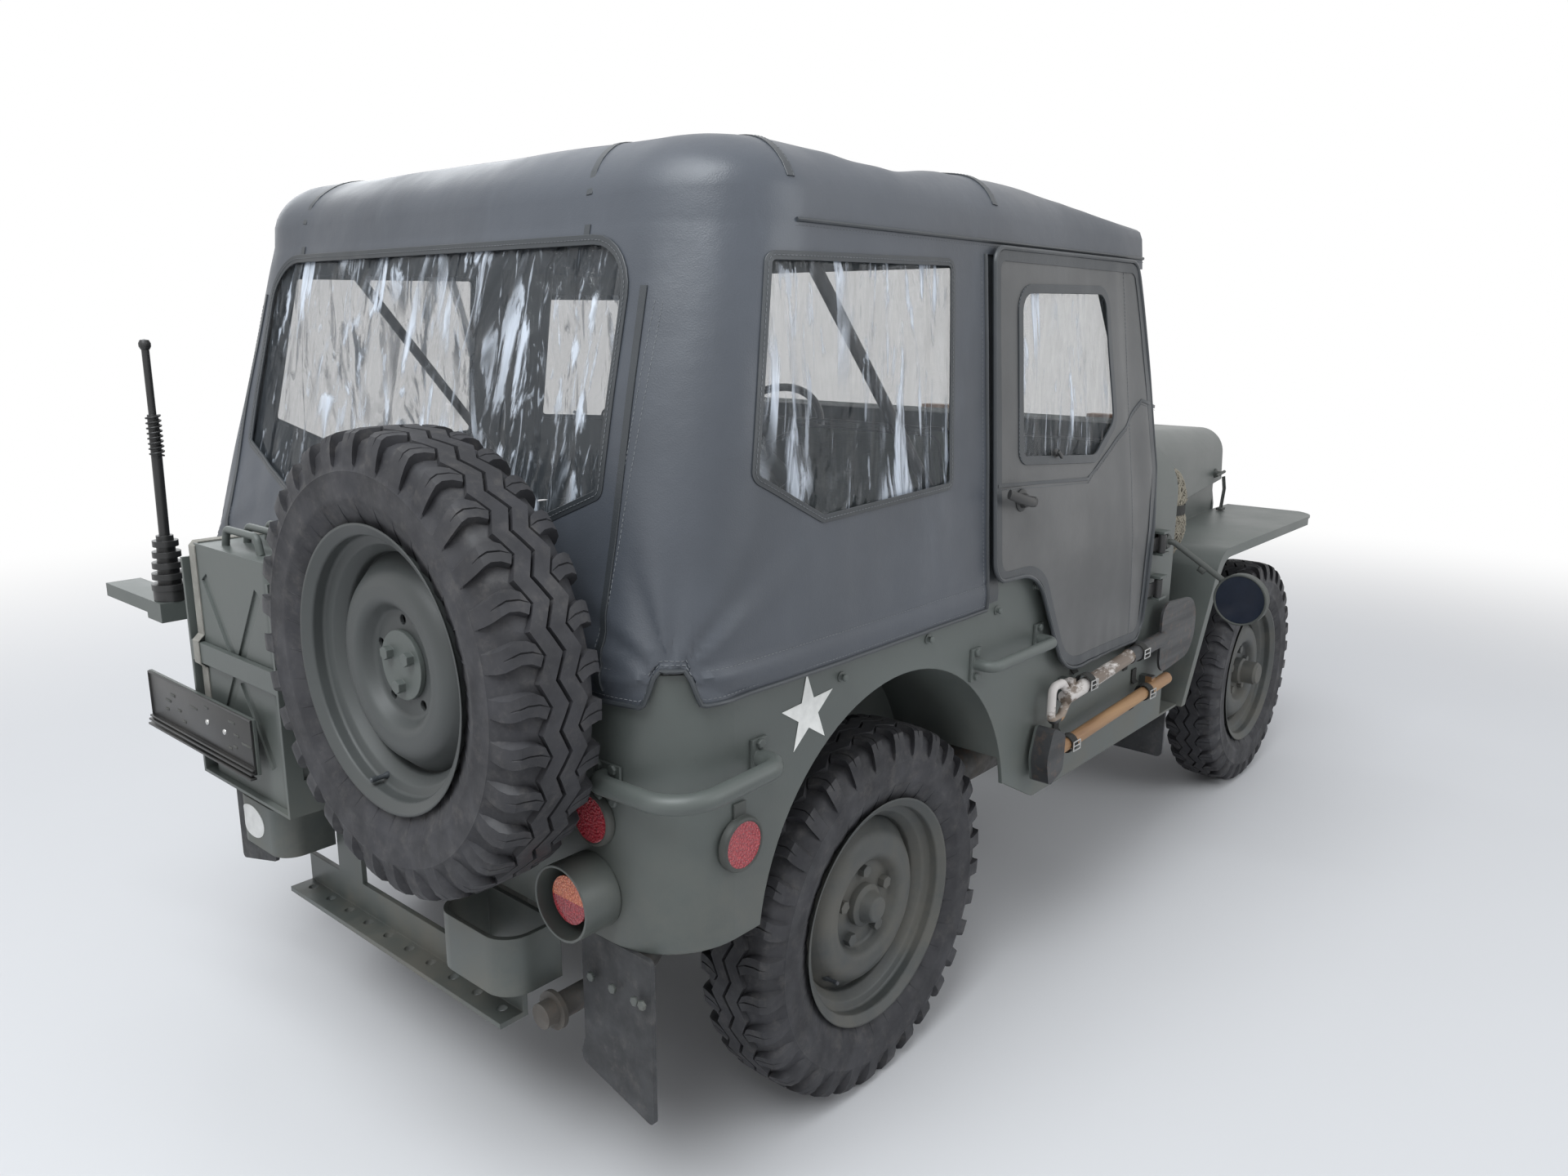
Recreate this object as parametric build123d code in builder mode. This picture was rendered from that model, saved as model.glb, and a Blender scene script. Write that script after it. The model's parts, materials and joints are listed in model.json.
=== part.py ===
from build123d import *

import os
from math import cos, hypot, radians, sin, sqrt, tan

os.makedirs("parts", exist_ok=True)

# Army 4x4 car with a high bonnet, flat front wings and a full soft top.
# Millimetres. +X forward, +Y left, +Z up, Z = 0 on the ground, Y = 0 on the centre plane.

# Driving dimensions of the running gear
wheelbase = 2032
track_half = 613
tyre_radius = 357
tyre_half_width = 79
front_overhang = 530
running_clearance = 0.05
seat_gap = 0.3
moving_gap = 6

# The spare wheel stands on edge behind the tub and sets the rear end of the car
spare_y = -309
spare_z = 938
spare_back = 716

# X places are measured from the rear axle, then moved so that the origin is mid-length
rear_axle_x = -(wheelbase + front_overhang - spare_back - tyre_half_width) / 2
front_axle_x = rear_axle_x + wheelbase
axle_z = tyre_radius


def fx(distance):
    # place ahead of the rear axle, as an X in the car's frame
    return rear_axle_x + distance


arc_share = 0.49


def trace(corners):
    # closed run of lines and tangent arcs; corner columns: u, v, radius
    count = len(corners)
    spans = []
    for i in range(count):
        u, v, radius = corners[i]
        before = corners[i - 1]
        after = corners[(i + 1) % count]
        if radius == 0:
            spans.append(((u, v), None, (u, v)))
            continue
        back_length = hypot(before[0] - u, before[1] - v)
        ahead_length = hypot(after[0] - u, after[1] - v)
        back = ((before[0] - u) / back_length, (before[1] - v) / back_length)
        ahead = ((after[0] - u) / ahead_length, (after[1] - v) / ahead_length)
        half_cosine = sqrt((1 + back[0] * ahead[0] + back[1] * ahead[1]) / 2)
        half_sine = sqrt(1 - half_cosine**2)
        # an arc takes at most its share of the shorter run beside it
        reach = min(radius * half_cosine / half_sine, arc_share * back_length, arc_share * ahead_length)
        radius = reach * half_sine / half_cosine
        middle = (back[0] + ahead[0], back[1] + ahead[1])
        to_arc = (radius / half_sine - radius) / hypot(*middle)
        start = (u + back[0] * reach, v + back[1] * reach)
        end = (u + ahead[0] * reach, v + ahead[1] * reach)
        spans.append((start, (u + middle[0] * to_arc, v + middle[1] * to_arc), end))
    for i in range(count):
        start, crown, end = spans[i]
        if crown:
            ThreePointArc(start, crown, end)
        following = spans[(i + 1) % count][0]
        if hypot(following[0] - end[0], following[1] - end[1]) > 0.001:
            Line(end, following)


def outline(plane, corners):
    # filled outline on a plane
    with BuildSketch(plane) as drawn:
        with BuildLine():
            trace(corners)
        make_face()
    return drawn.sketch


def sharp(points):
    # corners without radii
    return [(u, v, 0) for u, v in points]


def prism(plane, corners, amount, both=False, mode=Mode.ADD):
    extrude(outline(plane, corners), amount=amount, both=both, mode=mode)


def block(x0, x1, y0, y1, z0, z1, mode=Mode.ADD):
    # a square block given by its faces
    corners = sharp([(x0, y0), (x1, y0), (x1, y1), (x0, y1)])
    prism(Plane.XY.offset(z0), corners, z1 - z0, mode=mode)


def rod(start, end, radius, mode=Mode.ADD):
    # straight round bar from point to point
    heading = Vector(*end) - Vector(*start)
    with BuildSketch(Plane(origin=start, z_dir=heading)) as drawn:
        Circle(radius)
    extrude(drawn.sketch, amount=heading.length, mode=mode)


def bent_rod(points, radius, bend):
    # round bar along straight runs joined by bends of one radius
    with BuildLine() as route:
        FilletPolyline(*points, radius=bend)
    with BuildSketch(Plane(origin=route.line @ 0, z_dir=route.line % 0)) as drawn:
        Circle(radius)
    sweep(drawn.sketch, path=route.line)


def turned(corners, mode=Mode.ADD):
    # ring about the Y axis from corners of radius and distance along -Y
    revolve(outline(Plane.XY, [(r, -s, bend) for r, s, bend in corners]), axis=Axis.Y, mode=mode)


def write(builder, name):
    builder.part.label = name
    export_step(builder.part, "parts/" + name + ".step")


# Tyre: flat facets between rings of points, with shoulder lugs and gaps in turn, staggered across the tread
bead_radius = 206
bead_half = 52
shoulder_radius = 300
tread_half = 64
rib_half = 31
lug_depth = 13
lugs_a_side = 32
facet_angle = 180 / lugs_a_side


def ring_point(radius, distance, step):
    # a corner of the tyre; odd and even steps are the two ends of a lug
    angle = radians(step * facet_angle)
    return (radius * sin(angle), distance, radius * cos(angle))


def facet(*corners):
    return Face(Wire.make_polygon([ring_point(*corner) for corner in corners], close=True))


def tyre_facets():
    facets = []
    # flats of the bead lie on the rim's seat
    bead = bead_radius / cos(radians(facet_angle))
    for step in range(0, 2 * lugs_a_side, 2):
        ends = (step - 1, step + 1)
        facets.append(facet((bead, -bead_half, ends[0]), (bead, bead_half, ends[0]),
                            (bead, bead_half, ends[1]), (bead, -bead_half, ends[1])))
    for step in range(2 * lugs_a_side):
        after = step + 1
        facets.append(facet((tyre_radius, -rib_half, step), (tyre_radius, rib_half, step),
                            (tyre_radius, rib_half, after), (tyre_radius, -rib_half, after)))
        for side in (-1, 1):
            rib, lug, wall = side * rib_half, side * tread_half, side * tyre_half_width
            # radial face that ends a lug and starts a gap, or the other way round
            facets.append(facet((tyre_radius, rib, step), (tyre_radius, lug, step),
                                (shoulder_radius, wall, step), (tyre_radius - lug_depth, rib, step)))
            if (step + (side > 0)) % 2:
                facets.append(facet((tyre_radius, rib, step), (tyre_radius, lug, step),
                                    (tyre_radius, lug, after), (tyre_radius, rib, after)))
                facets.append(facet((tyre_radius, lug, step), (shoulder_radius, wall, step),
                                    (shoulder_radius, wall, after), (tyre_radius, lug, after)))
            else:
                facets.append(facet((tyre_radius, rib, step), (tyre_radius - lug_depth, rib, step),
                                    (tyre_radius - lug_depth, rib, after), (tyre_radius, rib, after)))
                facets.append(facet((tyre_radius - lug_depth, rib, step), (shoulder_radius, wall, step),
                                    (shoulder_radius, wall, after), (tyre_radius - lug_depth, rib, after)))
            # sidewall down to the bead, which has half as many corners
            if step % 2:
                facets.append(facet((shoulder_radius, wall, step), (bead, side * bead_half, step),
                                    (shoulder_radius, wall, after)))
                facets.append(facet((bead, side * bead_half, step), (bead, side * bead_half, step + 2),
                                    (shoulder_radius, wall, after)))
            else:
                facets.append(facet((shoulder_radius, wall, step), (bead, side * bead_half, after),
                                    (shoulder_radius, wall, after)))
    return facets


with BuildPart() as tyre_form:
    add(Solid(Shell(tyre_facets())))

# Wheel: rim, dished disc and hub, the outboard side towards -Y
rim_flange_radius = 221.5
rim_flange_half = 69.7
rim_sheet = 4
rim_well_radius = 176
stud_circle_radius = 69.85
spindle_radius = 20
hub_radius = 42
hub_inboard = 17
drum_radius = 120
drum_inboard = 62
drum_wall = 8
disc_sheet = 6
disc_hub_face = 18
bulge_face = 42
nut_count = 5
nut_radius = 13
nut_height = 15
stud_hole_radius = 8


def wheel_rim_and_disc():
    rim_seat_radius = bead_radius - seat_gap
    # rim columns: radius, distance, bend
    rim = [
        (rim_flange_radius, -rim_flange_half, 0),
        (rim_seat_radius, -rim_flange_half + 10, 5),
        (rim_seat_radius, -40, 6),
        (rim_well_radius + 14, -34, 6),
        (rim_well_radius, -16, 8),
        (rim_well_radius, 16, 8),
        (rim_well_radius + 14, 34, 6),
        (rim_seat_radius, 40, 6),
        (rim_seat_radius, rim_flange_half - 10, 5),
        (rim_flange_radius, rim_flange_half, 0),
    ]
    turned(rim + [(r - rim_sheet, s, bend) for r, s, bend in reversed(rim)])
    # disc columns: radius, distance of its outer face, bend
    disc = [
        (hub_radius - 6, disc_hub_face, 0),
        (84, disc_hub_face, 9),
        (99, bulge_face, 18),
        (138, bulge_face, 34),
        (rim_well_radius - 3, 2, 0),
    ]
    turned(disc + [(r, s - disc_sheet, bend) for r, s, bend in reversed(disc)])


def road_wheel(cap):
    wheel_rim_and_disc()
    with BuildSketch(Plane.XZ.offset(disc_hub_face - 1)) as nuts:
        with PolarLocations(stud_circle_radius, nut_count, start_angle=90):
            RegularPolygon(nut_radius, 6)
    extrude(nuts.sketch, amount=nut_height)
    turned([(0, -hub_inboard, 0), (hub_radius, -hub_inboard, 0)] + cap + [(0, cap[-1][1], 0)])
    drum = [
        (hub_radius - 5, 12),
        (drum_radius, 12),
        (drum_radius, -drum_inboard),
        (drum_radius - drum_wall, -drum_inboard),
        (drum_radius - drum_wall, 12 - drum_wall),
        (hub_radius - 5, 12 - drum_wall),
    ]
    turned(sharp(drum))
    bore = spindle_radius + running_clearance
    turned(sharp([(0, -hub_inboard), (bore, -hub_inboard), (bore, spindle_end), (0, spindle_end)]),
           mode=Mode.SUBTRACT)


# Hub caps columns: radius, distance, bend; the front ones house the driving flanges
spindle_end = 34
front_cap = [(hub_radius, 40, 0), (hub_radius - 6, 46, 0), (hub_radius - 6, 84, 3), (hub_radius - 12, 92, 0)]
rear_cap = [(hub_radius, 32, 0), (hub_radius - 9, 38, 0), (hub_radius - 18, 60, 6)]
# Wheel places columns: name, x, side (left +1, right -1), hub cap
wheel_places = [
    ("front_left", front_axle_x, 1, front_cap),
    ("front_right", front_axle_x, -1, front_cap),
    ("rear_left", rear_axle_x, 1, rear_cap),
    ("rear_right", rear_axle_x, -1, rear_cap),
]
for name, x, side, cap in wheel_places:
    place = Location((x, side * track_half, axle_z), (0, 0, 90 + side * 90))
    with BuildPart() as tyre:
        with Locations(place):
            add(tyre_form.part)
    write(tyre, name + "_tyre")
    with BuildPart() as wheel_form:
        road_wheel(cap)
    with BuildPart() as wheel:
        with Locations(place):
            add(wheel_form.part)
    write(wheel, name + "_wheel")

# Spare wheel and tyre: same forms, outboard side to the rear, with an open hub
spare_place = Location((fx(-spare_back), spare_y, spare_z), (0, 0, -90))
with BuildPart() as spare_form:
    wheel_rim_and_disc()
    with BuildSketch(Plane.XZ.offset(disc_hub_face - disc_sheet - 1)) as stud_holes:
        with PolarLocations(stud_circle_radius, nut_count, start_angle=90):
            Circle(stud_hole_radius)
    extrude(stud_holes.sketch, amount=disc_sheet + 2, mode=Mode.SUBTRACT)
with BuildPart() as spare_wheel:
    with Locations(spare_place):
        add(spare_form.part)
write(spare_wheel, "spare_wheel")
with BuildPart() as spare_tyre:
    with Locations(spare_place):
        add(tyre_form.part)
write(spare_tyre, "spare_tyre")

# Chassis frame: two channel rails, open inwards, and crossmembers
rail_y = 352
rail_width = 46
rail_inner = rail_y - rail_width / 2
rail_outer = rail_y + rail_width / 2
rail_bottom = 470
rail_top = 560
rail_rear = -583
rail_front = wheelbase + 428
rail_wall = 6
engine_rear = wheelbase - 552
engine_length = 560
radiator_x = wheelbase + 78
grille_x = wheelbase + 144
crossmember_places = [rail_rear + 30, -300, 620, engine_rear - 250, grille_x - 36, rail_front - 45]
with BuildPart() as frame:
    block(fx(rail_rear), fx(rail_front), rail_inner, rail_outer, rail_bottom, rail_top)
    block(fx(rail_rear) + rail_wall, fx(rail_front) - rail_wall, rail_inner, rail_outer - rail_wall,
          rail_bottom + rail_wall, rail_top - rail_wall, mode=Mode.SUBTRACT)
    mirror(about=Plane.XZ)
    for place in crossmember_places:
        half = rail_outer - rail_wall
        block(fx(place) - 30, fx(place) + 30, -half, half, rail_bottom + rail_wall, rail_top - rail_wall)
write(frame, "chassis_frame")

# Bumpers: a front channel open to the rear on two horns, and two bent strips on the rear ends of the rails
bumper_half = 580
bumper_bottom = 465
bumper_height = 110
bumper_depth = 44
bumper_sheet = 5
bumperette_rear = -692
bumperette_inner = 265
bumperette_outer = 460
bumperette_bottom = 405
bumperette_height = 100
bumperette_plate = 8
with BuildPart() as bumpers:
    front_face = fx(wheelbase + front_overhang)
    block(front_face - bumper_depth, front_face, -bumper_half, bumper_half,
          bumper_bottom, bumper_bottom + bumper_height)
    block(front_face - bumper_depth, front_face - bumper_sheet, -bumper_half, bumper_half,
          bumper_bottom + bumper_sheet, bumper_bottom + bumper_height - bumper_sheet, mode=Mode.SUBTRACT)
    for side in (-1, 1):
        block(fx(rail_front) + seat_gap, front_face - bumper_sheet, side * rail_inner, side * rail_outer,
              rail_bottom + 10, rail_top - 10)
    foot = fx(rail_rear) - seat_gap - bumperette_plate
    tip = fx(bumperette_rear)
    inside = bumperette_inner + bumperette_plate
    outside = bumperette_outer - bumperette_plate
    strip = [
        (foot, bumperette_inner, 0),
        (tip, bumperette_inner, 45),
        (tip, bumperette_outer, 60),
        (foot, bumperette_outer, 0),
        (foot, outside, 0),
        (tip + bumperette_plate, outside, 60 - bumperette_plate),
        (tip + bumperette_plate, inside, 45 - bumperette_plate),
        (foot, inside, 0),
    ]
    prism(Plane.XY.offset(bumperette_bottom), strip, bumperette_height)
    block(foot, foot + bumperette_plate, bumperette_inner, bumperette_outer,
          bumperette_bottom, bumperette_bottom + bumperette_height)
    mirror(about=Plane.XZ)
write(bumpers, "bumpers")

# Rear drawbar: an angle iron with a row of holes, hung from the rear crossmember
drawbar_half = 361
drawbar_rear = -640
drawbar_z = 300
drawbar_plate = 10
drawbar_hole_spacing = 72.2
drawbar_hole_radius = 9
drawbar_hole_count = 10
drawbar_hole_in = 30
drawbar_top = 518
with BuildPart() as drawbar:
    rear_edge = fx(drawbar_rear)
    web_rear = fx(rail_rear) - seat_gap - drawbar_plate
    block(rear_edge, web_rear + drawbar_plate, -drawbar_half, drawbar_half, drawbar_z - drawbar_plate, drawbar_z)
    block(web_rear, web_rear + drawbar_plate, -drawbar_half, drawbar_half, drawbar_z - drawbar_plate, drawbar_z + 60)
    for side in (-1, 1):
        block(web_rear, web_rear + drawbar_plate, side * 150, side * 240, drawbar_z, rail_bottom + 30)
    block(web_rear, web_rear + drawbar_plate, -250, 250, rail_bottom + 20, drawbar_top)
    with BuildSketch(Plane.XY.offset(drawbar_z)):
        with Locations((rear_edge + drawbar_hole_in, 0)):
            with GridLocations(0, drawbar_hole_spacing, 1, drawbar_hole_count):
                Circle(drawbar_hole_radius)
    extrude(amount=-drawbar_plate, mode=Mode.SUBTRACT)
write(drawbar, "drawbar")

# Axles: tubes with their differentials; the front one ends in joint balls on the kingpins
axle_tube_radius = 36
diff_y = -180
diff_radius = 112
kingpin_y = 515
joint_ball_radius = 64
knuckle_wall = 10
back_plate_y = track_half - drum_inboard - moving_gap
with BuildPart() as rear_axle:
    half = back_plate_y
    rod((rear_axle_x, -half, axle_z), (rear_axle_x, half, axle_z), axle_tube_radius)
    for side in (-1, 1):
        rod((rear_axle_x, side * half, axle_z), (rear_axle_x, side * (half - 5), axle_z), drum_radius)
        rod((rear_axle_x, side * half, axle_z), (rear_axle_x, side * (track_half + spindle_end - 2), axle_z),
            spindle_radius)
    with Locations((rear_axle_x, diff_y, axle_z)):
        Sphere(diff_radius)
write(rear_axle, "rear_axle")

with BuildPart() as front_axle:
    rod((front_axle_x, -kingpin_y, axle_z), (front_axle_x, kingpin_y, axle_z), axle_tube_radius)
    with Locations((front_axle_x, -kingpin_y, axle_z), (front_axle_x, kingpin_y, axle_z)):
        Sphere(joint_ball_radius)
    with Locations((front_axle_x, diff_y, axle_z)):
        Sphere(diff_radius)
write(front_axle, "front_axle")

# Steering knuckles: a cup over each joint ball, a spindle and a back plate
knuckle_cut = 10
for name, side in (("knuckle_left", 1), ("knuckle_right", -1)):
    with BuildPart() as knuckle:
        with Locations((front_axle_x, side * kingpin_y, axle_z)):
            Sphere(joint_ball_radius + seat_gap + knuckle_wall)
        shell_end = joint_ball_radius + seat_gap + 2
        rod((front_axle_x, side * back_plate_y, axle_z), (front_axle_x, side * (back_plate_y - 5), axle_z),
            drum_radius)
        rod((front_axle_x, side * (kingpin_y + shell_end), axle_z),
            (front_axle_x, side * (track_half + spindle_end - 2), axle_z), spindle_radius)
        with Locations((front_axle_x, side * kingpin_y, axle_z)):
            Sphere(joint_ball_radius + running_clearance, mode=Mode.SUBTRACT)
        block(front_axle_x - 100, front_axle_x + 100, side * (kingpin_y - knuckle_cut),
              side * (kingpin_y - 120), axle_z - 100, axle_z + 100, mode=Mode.SUBTRACT)
    write(knuckle, name)

# Leaf springs under the axles, with the pads that carry the tubes and the shackles up to the rails
spring_half = 410
spring_leaf = 7
spring_leaf_count = 5
spring_width = 44
spring_rise = 60
spring_pad = 10
spring_step = 75
clamp_bolt_radius = 5
with BuildPart() as springs:
    for x in (rear_axle_x, front_axle_x):
        pad_top = axle_z - axle_tube_radius - seat_gap
        for row in range(spring_leaf_count):
            reach = spring_half - row * spring_step
            rise = spring_rise * (reach / spring_half) ** 2
            upper = pad_top - spring_pad - spring_leaf * row + 1
            lower = pad_top - spring_pad - spring_leaf * (row + 1)
            with BuildSketch(Plane.XZ.offset(-rail_inner)) as leaf:
                with BuildLine():
                    ThreePointArc((x - reach, lower + rise), (x, lower), (x + reach, lower + rise))
                    Line((x + reach, lower + rise), (x + reach, upper + rise))
                    ThreePointArc((x + reach, upper + rise), (x, upper), (x - reach, upper + rise))
                    Line((x - reach, upper + rise), (x - reach, lower + rise))
                make_face()
            extrude(leaf.sketch, amount=-spring_width)
        block(x - 60, x + 60, rail_inner, rail_inner + spring_width, pad_top - spring_pad - spring_leaf, pad_top)
        # clamp plate under the leaves, and two bolts bent round the axle tube
        stack_low = pad_top - spring_pad - spring_leaf * spring_leaf_count
        block(x - 60, x + 60, rail_inner, rail_inner + spring_width, stack_low - 8, stack_low + 1)
        bolt_reach = axle_tube_radius + clamp_bolt_radius + 2
        for y in (rail_inner + 9, rail_inner + spring_width - 9):
            bent_rod([(x - bolt_reach, y, stack_low - 18), (x - bolt_reach, y, axle_z + bolt_reach),
                      (x + bolt_reach, y, axle_z + bolt_reach), (x + bolt_reach, y, stack_low - 18)],
                     clamp_bolt_radius, bolt_reach - 2)
        for end in (-1, 1):
            # shackle from the spring's eye up to the rail
            eye_x = x + end * spring_half
            eye_z = pad_top - spring_pad - spring_leaf / 2 + spring_rise
            rod((eye_x, rail_inner, eye_z), (eye_x, rail_inner + spring_width, eye_z), 17)
            block(eye_x - 12, eye_x + 12, rail_inner, rail_inner + 9, eye_z, rail_bottom - seat_gap)
            block(eye_x - 12, eye_x + 12, rail_inner + spring_width - 9, rail_inner + spring_width, eye_z,
                  rail_bottom - seat_gap)
    mirror(about=Plane.XZ)
write(springs, "leaf_springs")

# Drive train: engine and gearboxes as plain blocks, propeller shafts, radiator and the exhaust on the right
shaft_radius = 24
gearbox_bottom = rail_top - rail_wall + seat_gap
gearbox_rear = engine_rear - 322
transfer_rear = 760
transfer_front = gearbox_rear + 1
engine_mount_x = engine_rear + 220
exhaust_radius = 21
silencer_radius = 62
tail_pipe_y = -495
tail_pipe_z = 381
tail_pipe_rear = -655
pipe_y = -455
pipe_z = 425
manifold_y = -262
manifold_z = 690
with BuildPart() as powertrain:
    prism(Plane.YZ.offset(fx(engine_rear)), [(-130, 480, 30), (130, 480, 30), (170, 720, 20), (110, 980, 20),
                                             (-110, 980, 20), (-170, 720, 20)], engine_length)
    # engine mounts on the rails
    block(fx(engine_mount_x), fx(engine_mount_x) + 60, -rail_outer + 10, rail_outer - 10, rail_top + seat_gap,
          rail_top + 28)
    prism(Plane.YZ.offset(fx(gearbox_rear)), [(-100, gearbox_bottom, 10), (60, gearbox_bottom, 10), (50, 740, 30),
                                              (-70, 740, 30)], engine_rear - gearbox_rear + 1)
    prism(Plane.YZ.offset(fx(transfer_rear)), [(-270, 400, 50), (80, 400, 50), (80, 575, 30), (-270, 575, 30)],
          transfer_front - transfer_rear)
    # shaft ends clear the round differentials by a small gap
    nose = diff_radius - 3
    rod((fx(0) + nose, diff_y, axle_z + 20), (fx(transfer_rear) + 1, diff_y, 440), shaft_radius)
    rod((front_axle_x - nose, diff_y, axle_z + 20), (fx(transfer_front) - 1, diff_y, 440), shaft_radius)
    with Locations((rear_axle_x, diff_y, axle_z), (front_axle_x, diff_y, axle_z)):
        Sphere(diff_radius + seat_gap, mode=Mode.SUBTRACT)
    block(fx(radiator_x), fx(radiator_x) + 55, -225, 225, gearbox_bottom, 1020)
    rod((fx(radiator_x) + 27, 0, 1019), (fx(radiator_x) + 27, 0, 1045), 28)
    rod((fx(radiator_x) + 10, 60, 960), (fx(engine_rear + engine_length) - 10, 60, 930), 26)
    bent_rod([(fx(tail_pipe_rear), tail_pipe_y, tail_pipe_z), (fx(-430), tail_pipe_y, tail_pipe_z),
              (fx(-330), pipe_y, pipe_z), (fx(380), pipe_y, pipe_z)], exhaust_radius, 40)
    rod((fx(379), pipe_y, pipe_z), (fx(861), pipe_y, pipe_z), silencer_radius)
    bent_rod([(fx(860), pipe_y, pipe_z), (fx(engine_rear) - 240, pipe_y, pipe_z),
              (fx(engine_rear) - 80, manifold_y, pipe_z), (fx(engine_rear) + 140, manifold_y, manifold_z),
              (fx(engine_rear) + 140, -160, manifold_z)], exhaust_radius, 30)
    flange_x = fx(tail_pipe_rear) + 22
    rod((flange_x, tail_pipe_y, tail_pipe_z), (flange_x + 8, tail_pipe_y, tail_pipe_z), 32)
write(powertrain, "powertrain")

# Tub: side walls with round wheel arches, rear panel, floor, wheel boxes and the high cowl
tub_half = 735
tub_rear = -595
tub_top = 960
tub_wall = 8
tub_corner = 130
tub_rear_bottom = 525
sill_bottom = 455
cowl_rear = 1000
cowl_front = 1150
cowl_top = 1168
floor_top = 590
floor_sheet = 6
arch_radius = 377
arch_x = -35
arch_z = 471
wheel_box_inner = track_half - 143
entry_rear = 432
entry_foot = 575
entry_low = 742
body_mount_places = (-520, 150, 700, 1080)

# Hinges of the bonnet and the doors
hinge_pin_radius = 6
hinge_sleeve_radius = 12
bonnet_hinge_x = 1156
bonnet_hinge_z = 1184
bonnet_hinge_y = 330
bonnet_hinge_half = 30
door_hinge_x = 1014
door_hinge_y = tub_half + 23
door_hinge_half = 22
door_pin_radius = 5
door_sleeve_radius = 10
door_hinge_heights = (825, 935)


def tub_side_shape():
    # side view of the tub; columns: x, z, radius
    return [
        (fx(tub_rear), tub_rear_bottom, 0),
        (fx(arch_x - arch_radius), tub_rear_bottom, 0),
        (fx(arch_x + arch_radius), tub_rear_bottom, 0),
        (fx(470), sill_bottom, 40),
        (fx(cowl_front), sill_bottom, 0),
        (fx(cowl_front), cowl_top, 0),
        (fx(cowl_rear), cowl_top, 0),
        (fx(cowl_rear) - 25, entry_low, 70),
        (fx(entry_foot), entry_low, 130),
        (fx(entry_rear), tub_top, 70),
        (fx(tub_rear), tub_top, 0),
    ]


def tub_plan(inset):
    # top view of the tub; columns: x, y, radius
    rear = fx(tub_rear) + inset
    half = tub_half - inset
    corner = tub_corner - inset
    front = fx(cowl_front) - inset
    return [(rear, half, corner), (rear, -half, corner), (front, -half, 0), (front, half, 0)]


def tub_cross(inset):
    # front view with the rounded cowl shoulders; columns: y, z, radius
    half = tub_half - inset
    top = cowl_top - inset
    return [
        (-half, sill_bottom - 1, 0),
        (half, sill_bottom - 1, 0),
        (half, top, 130 - inset),
        (-half, top, 130 - inset),
    ]


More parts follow.
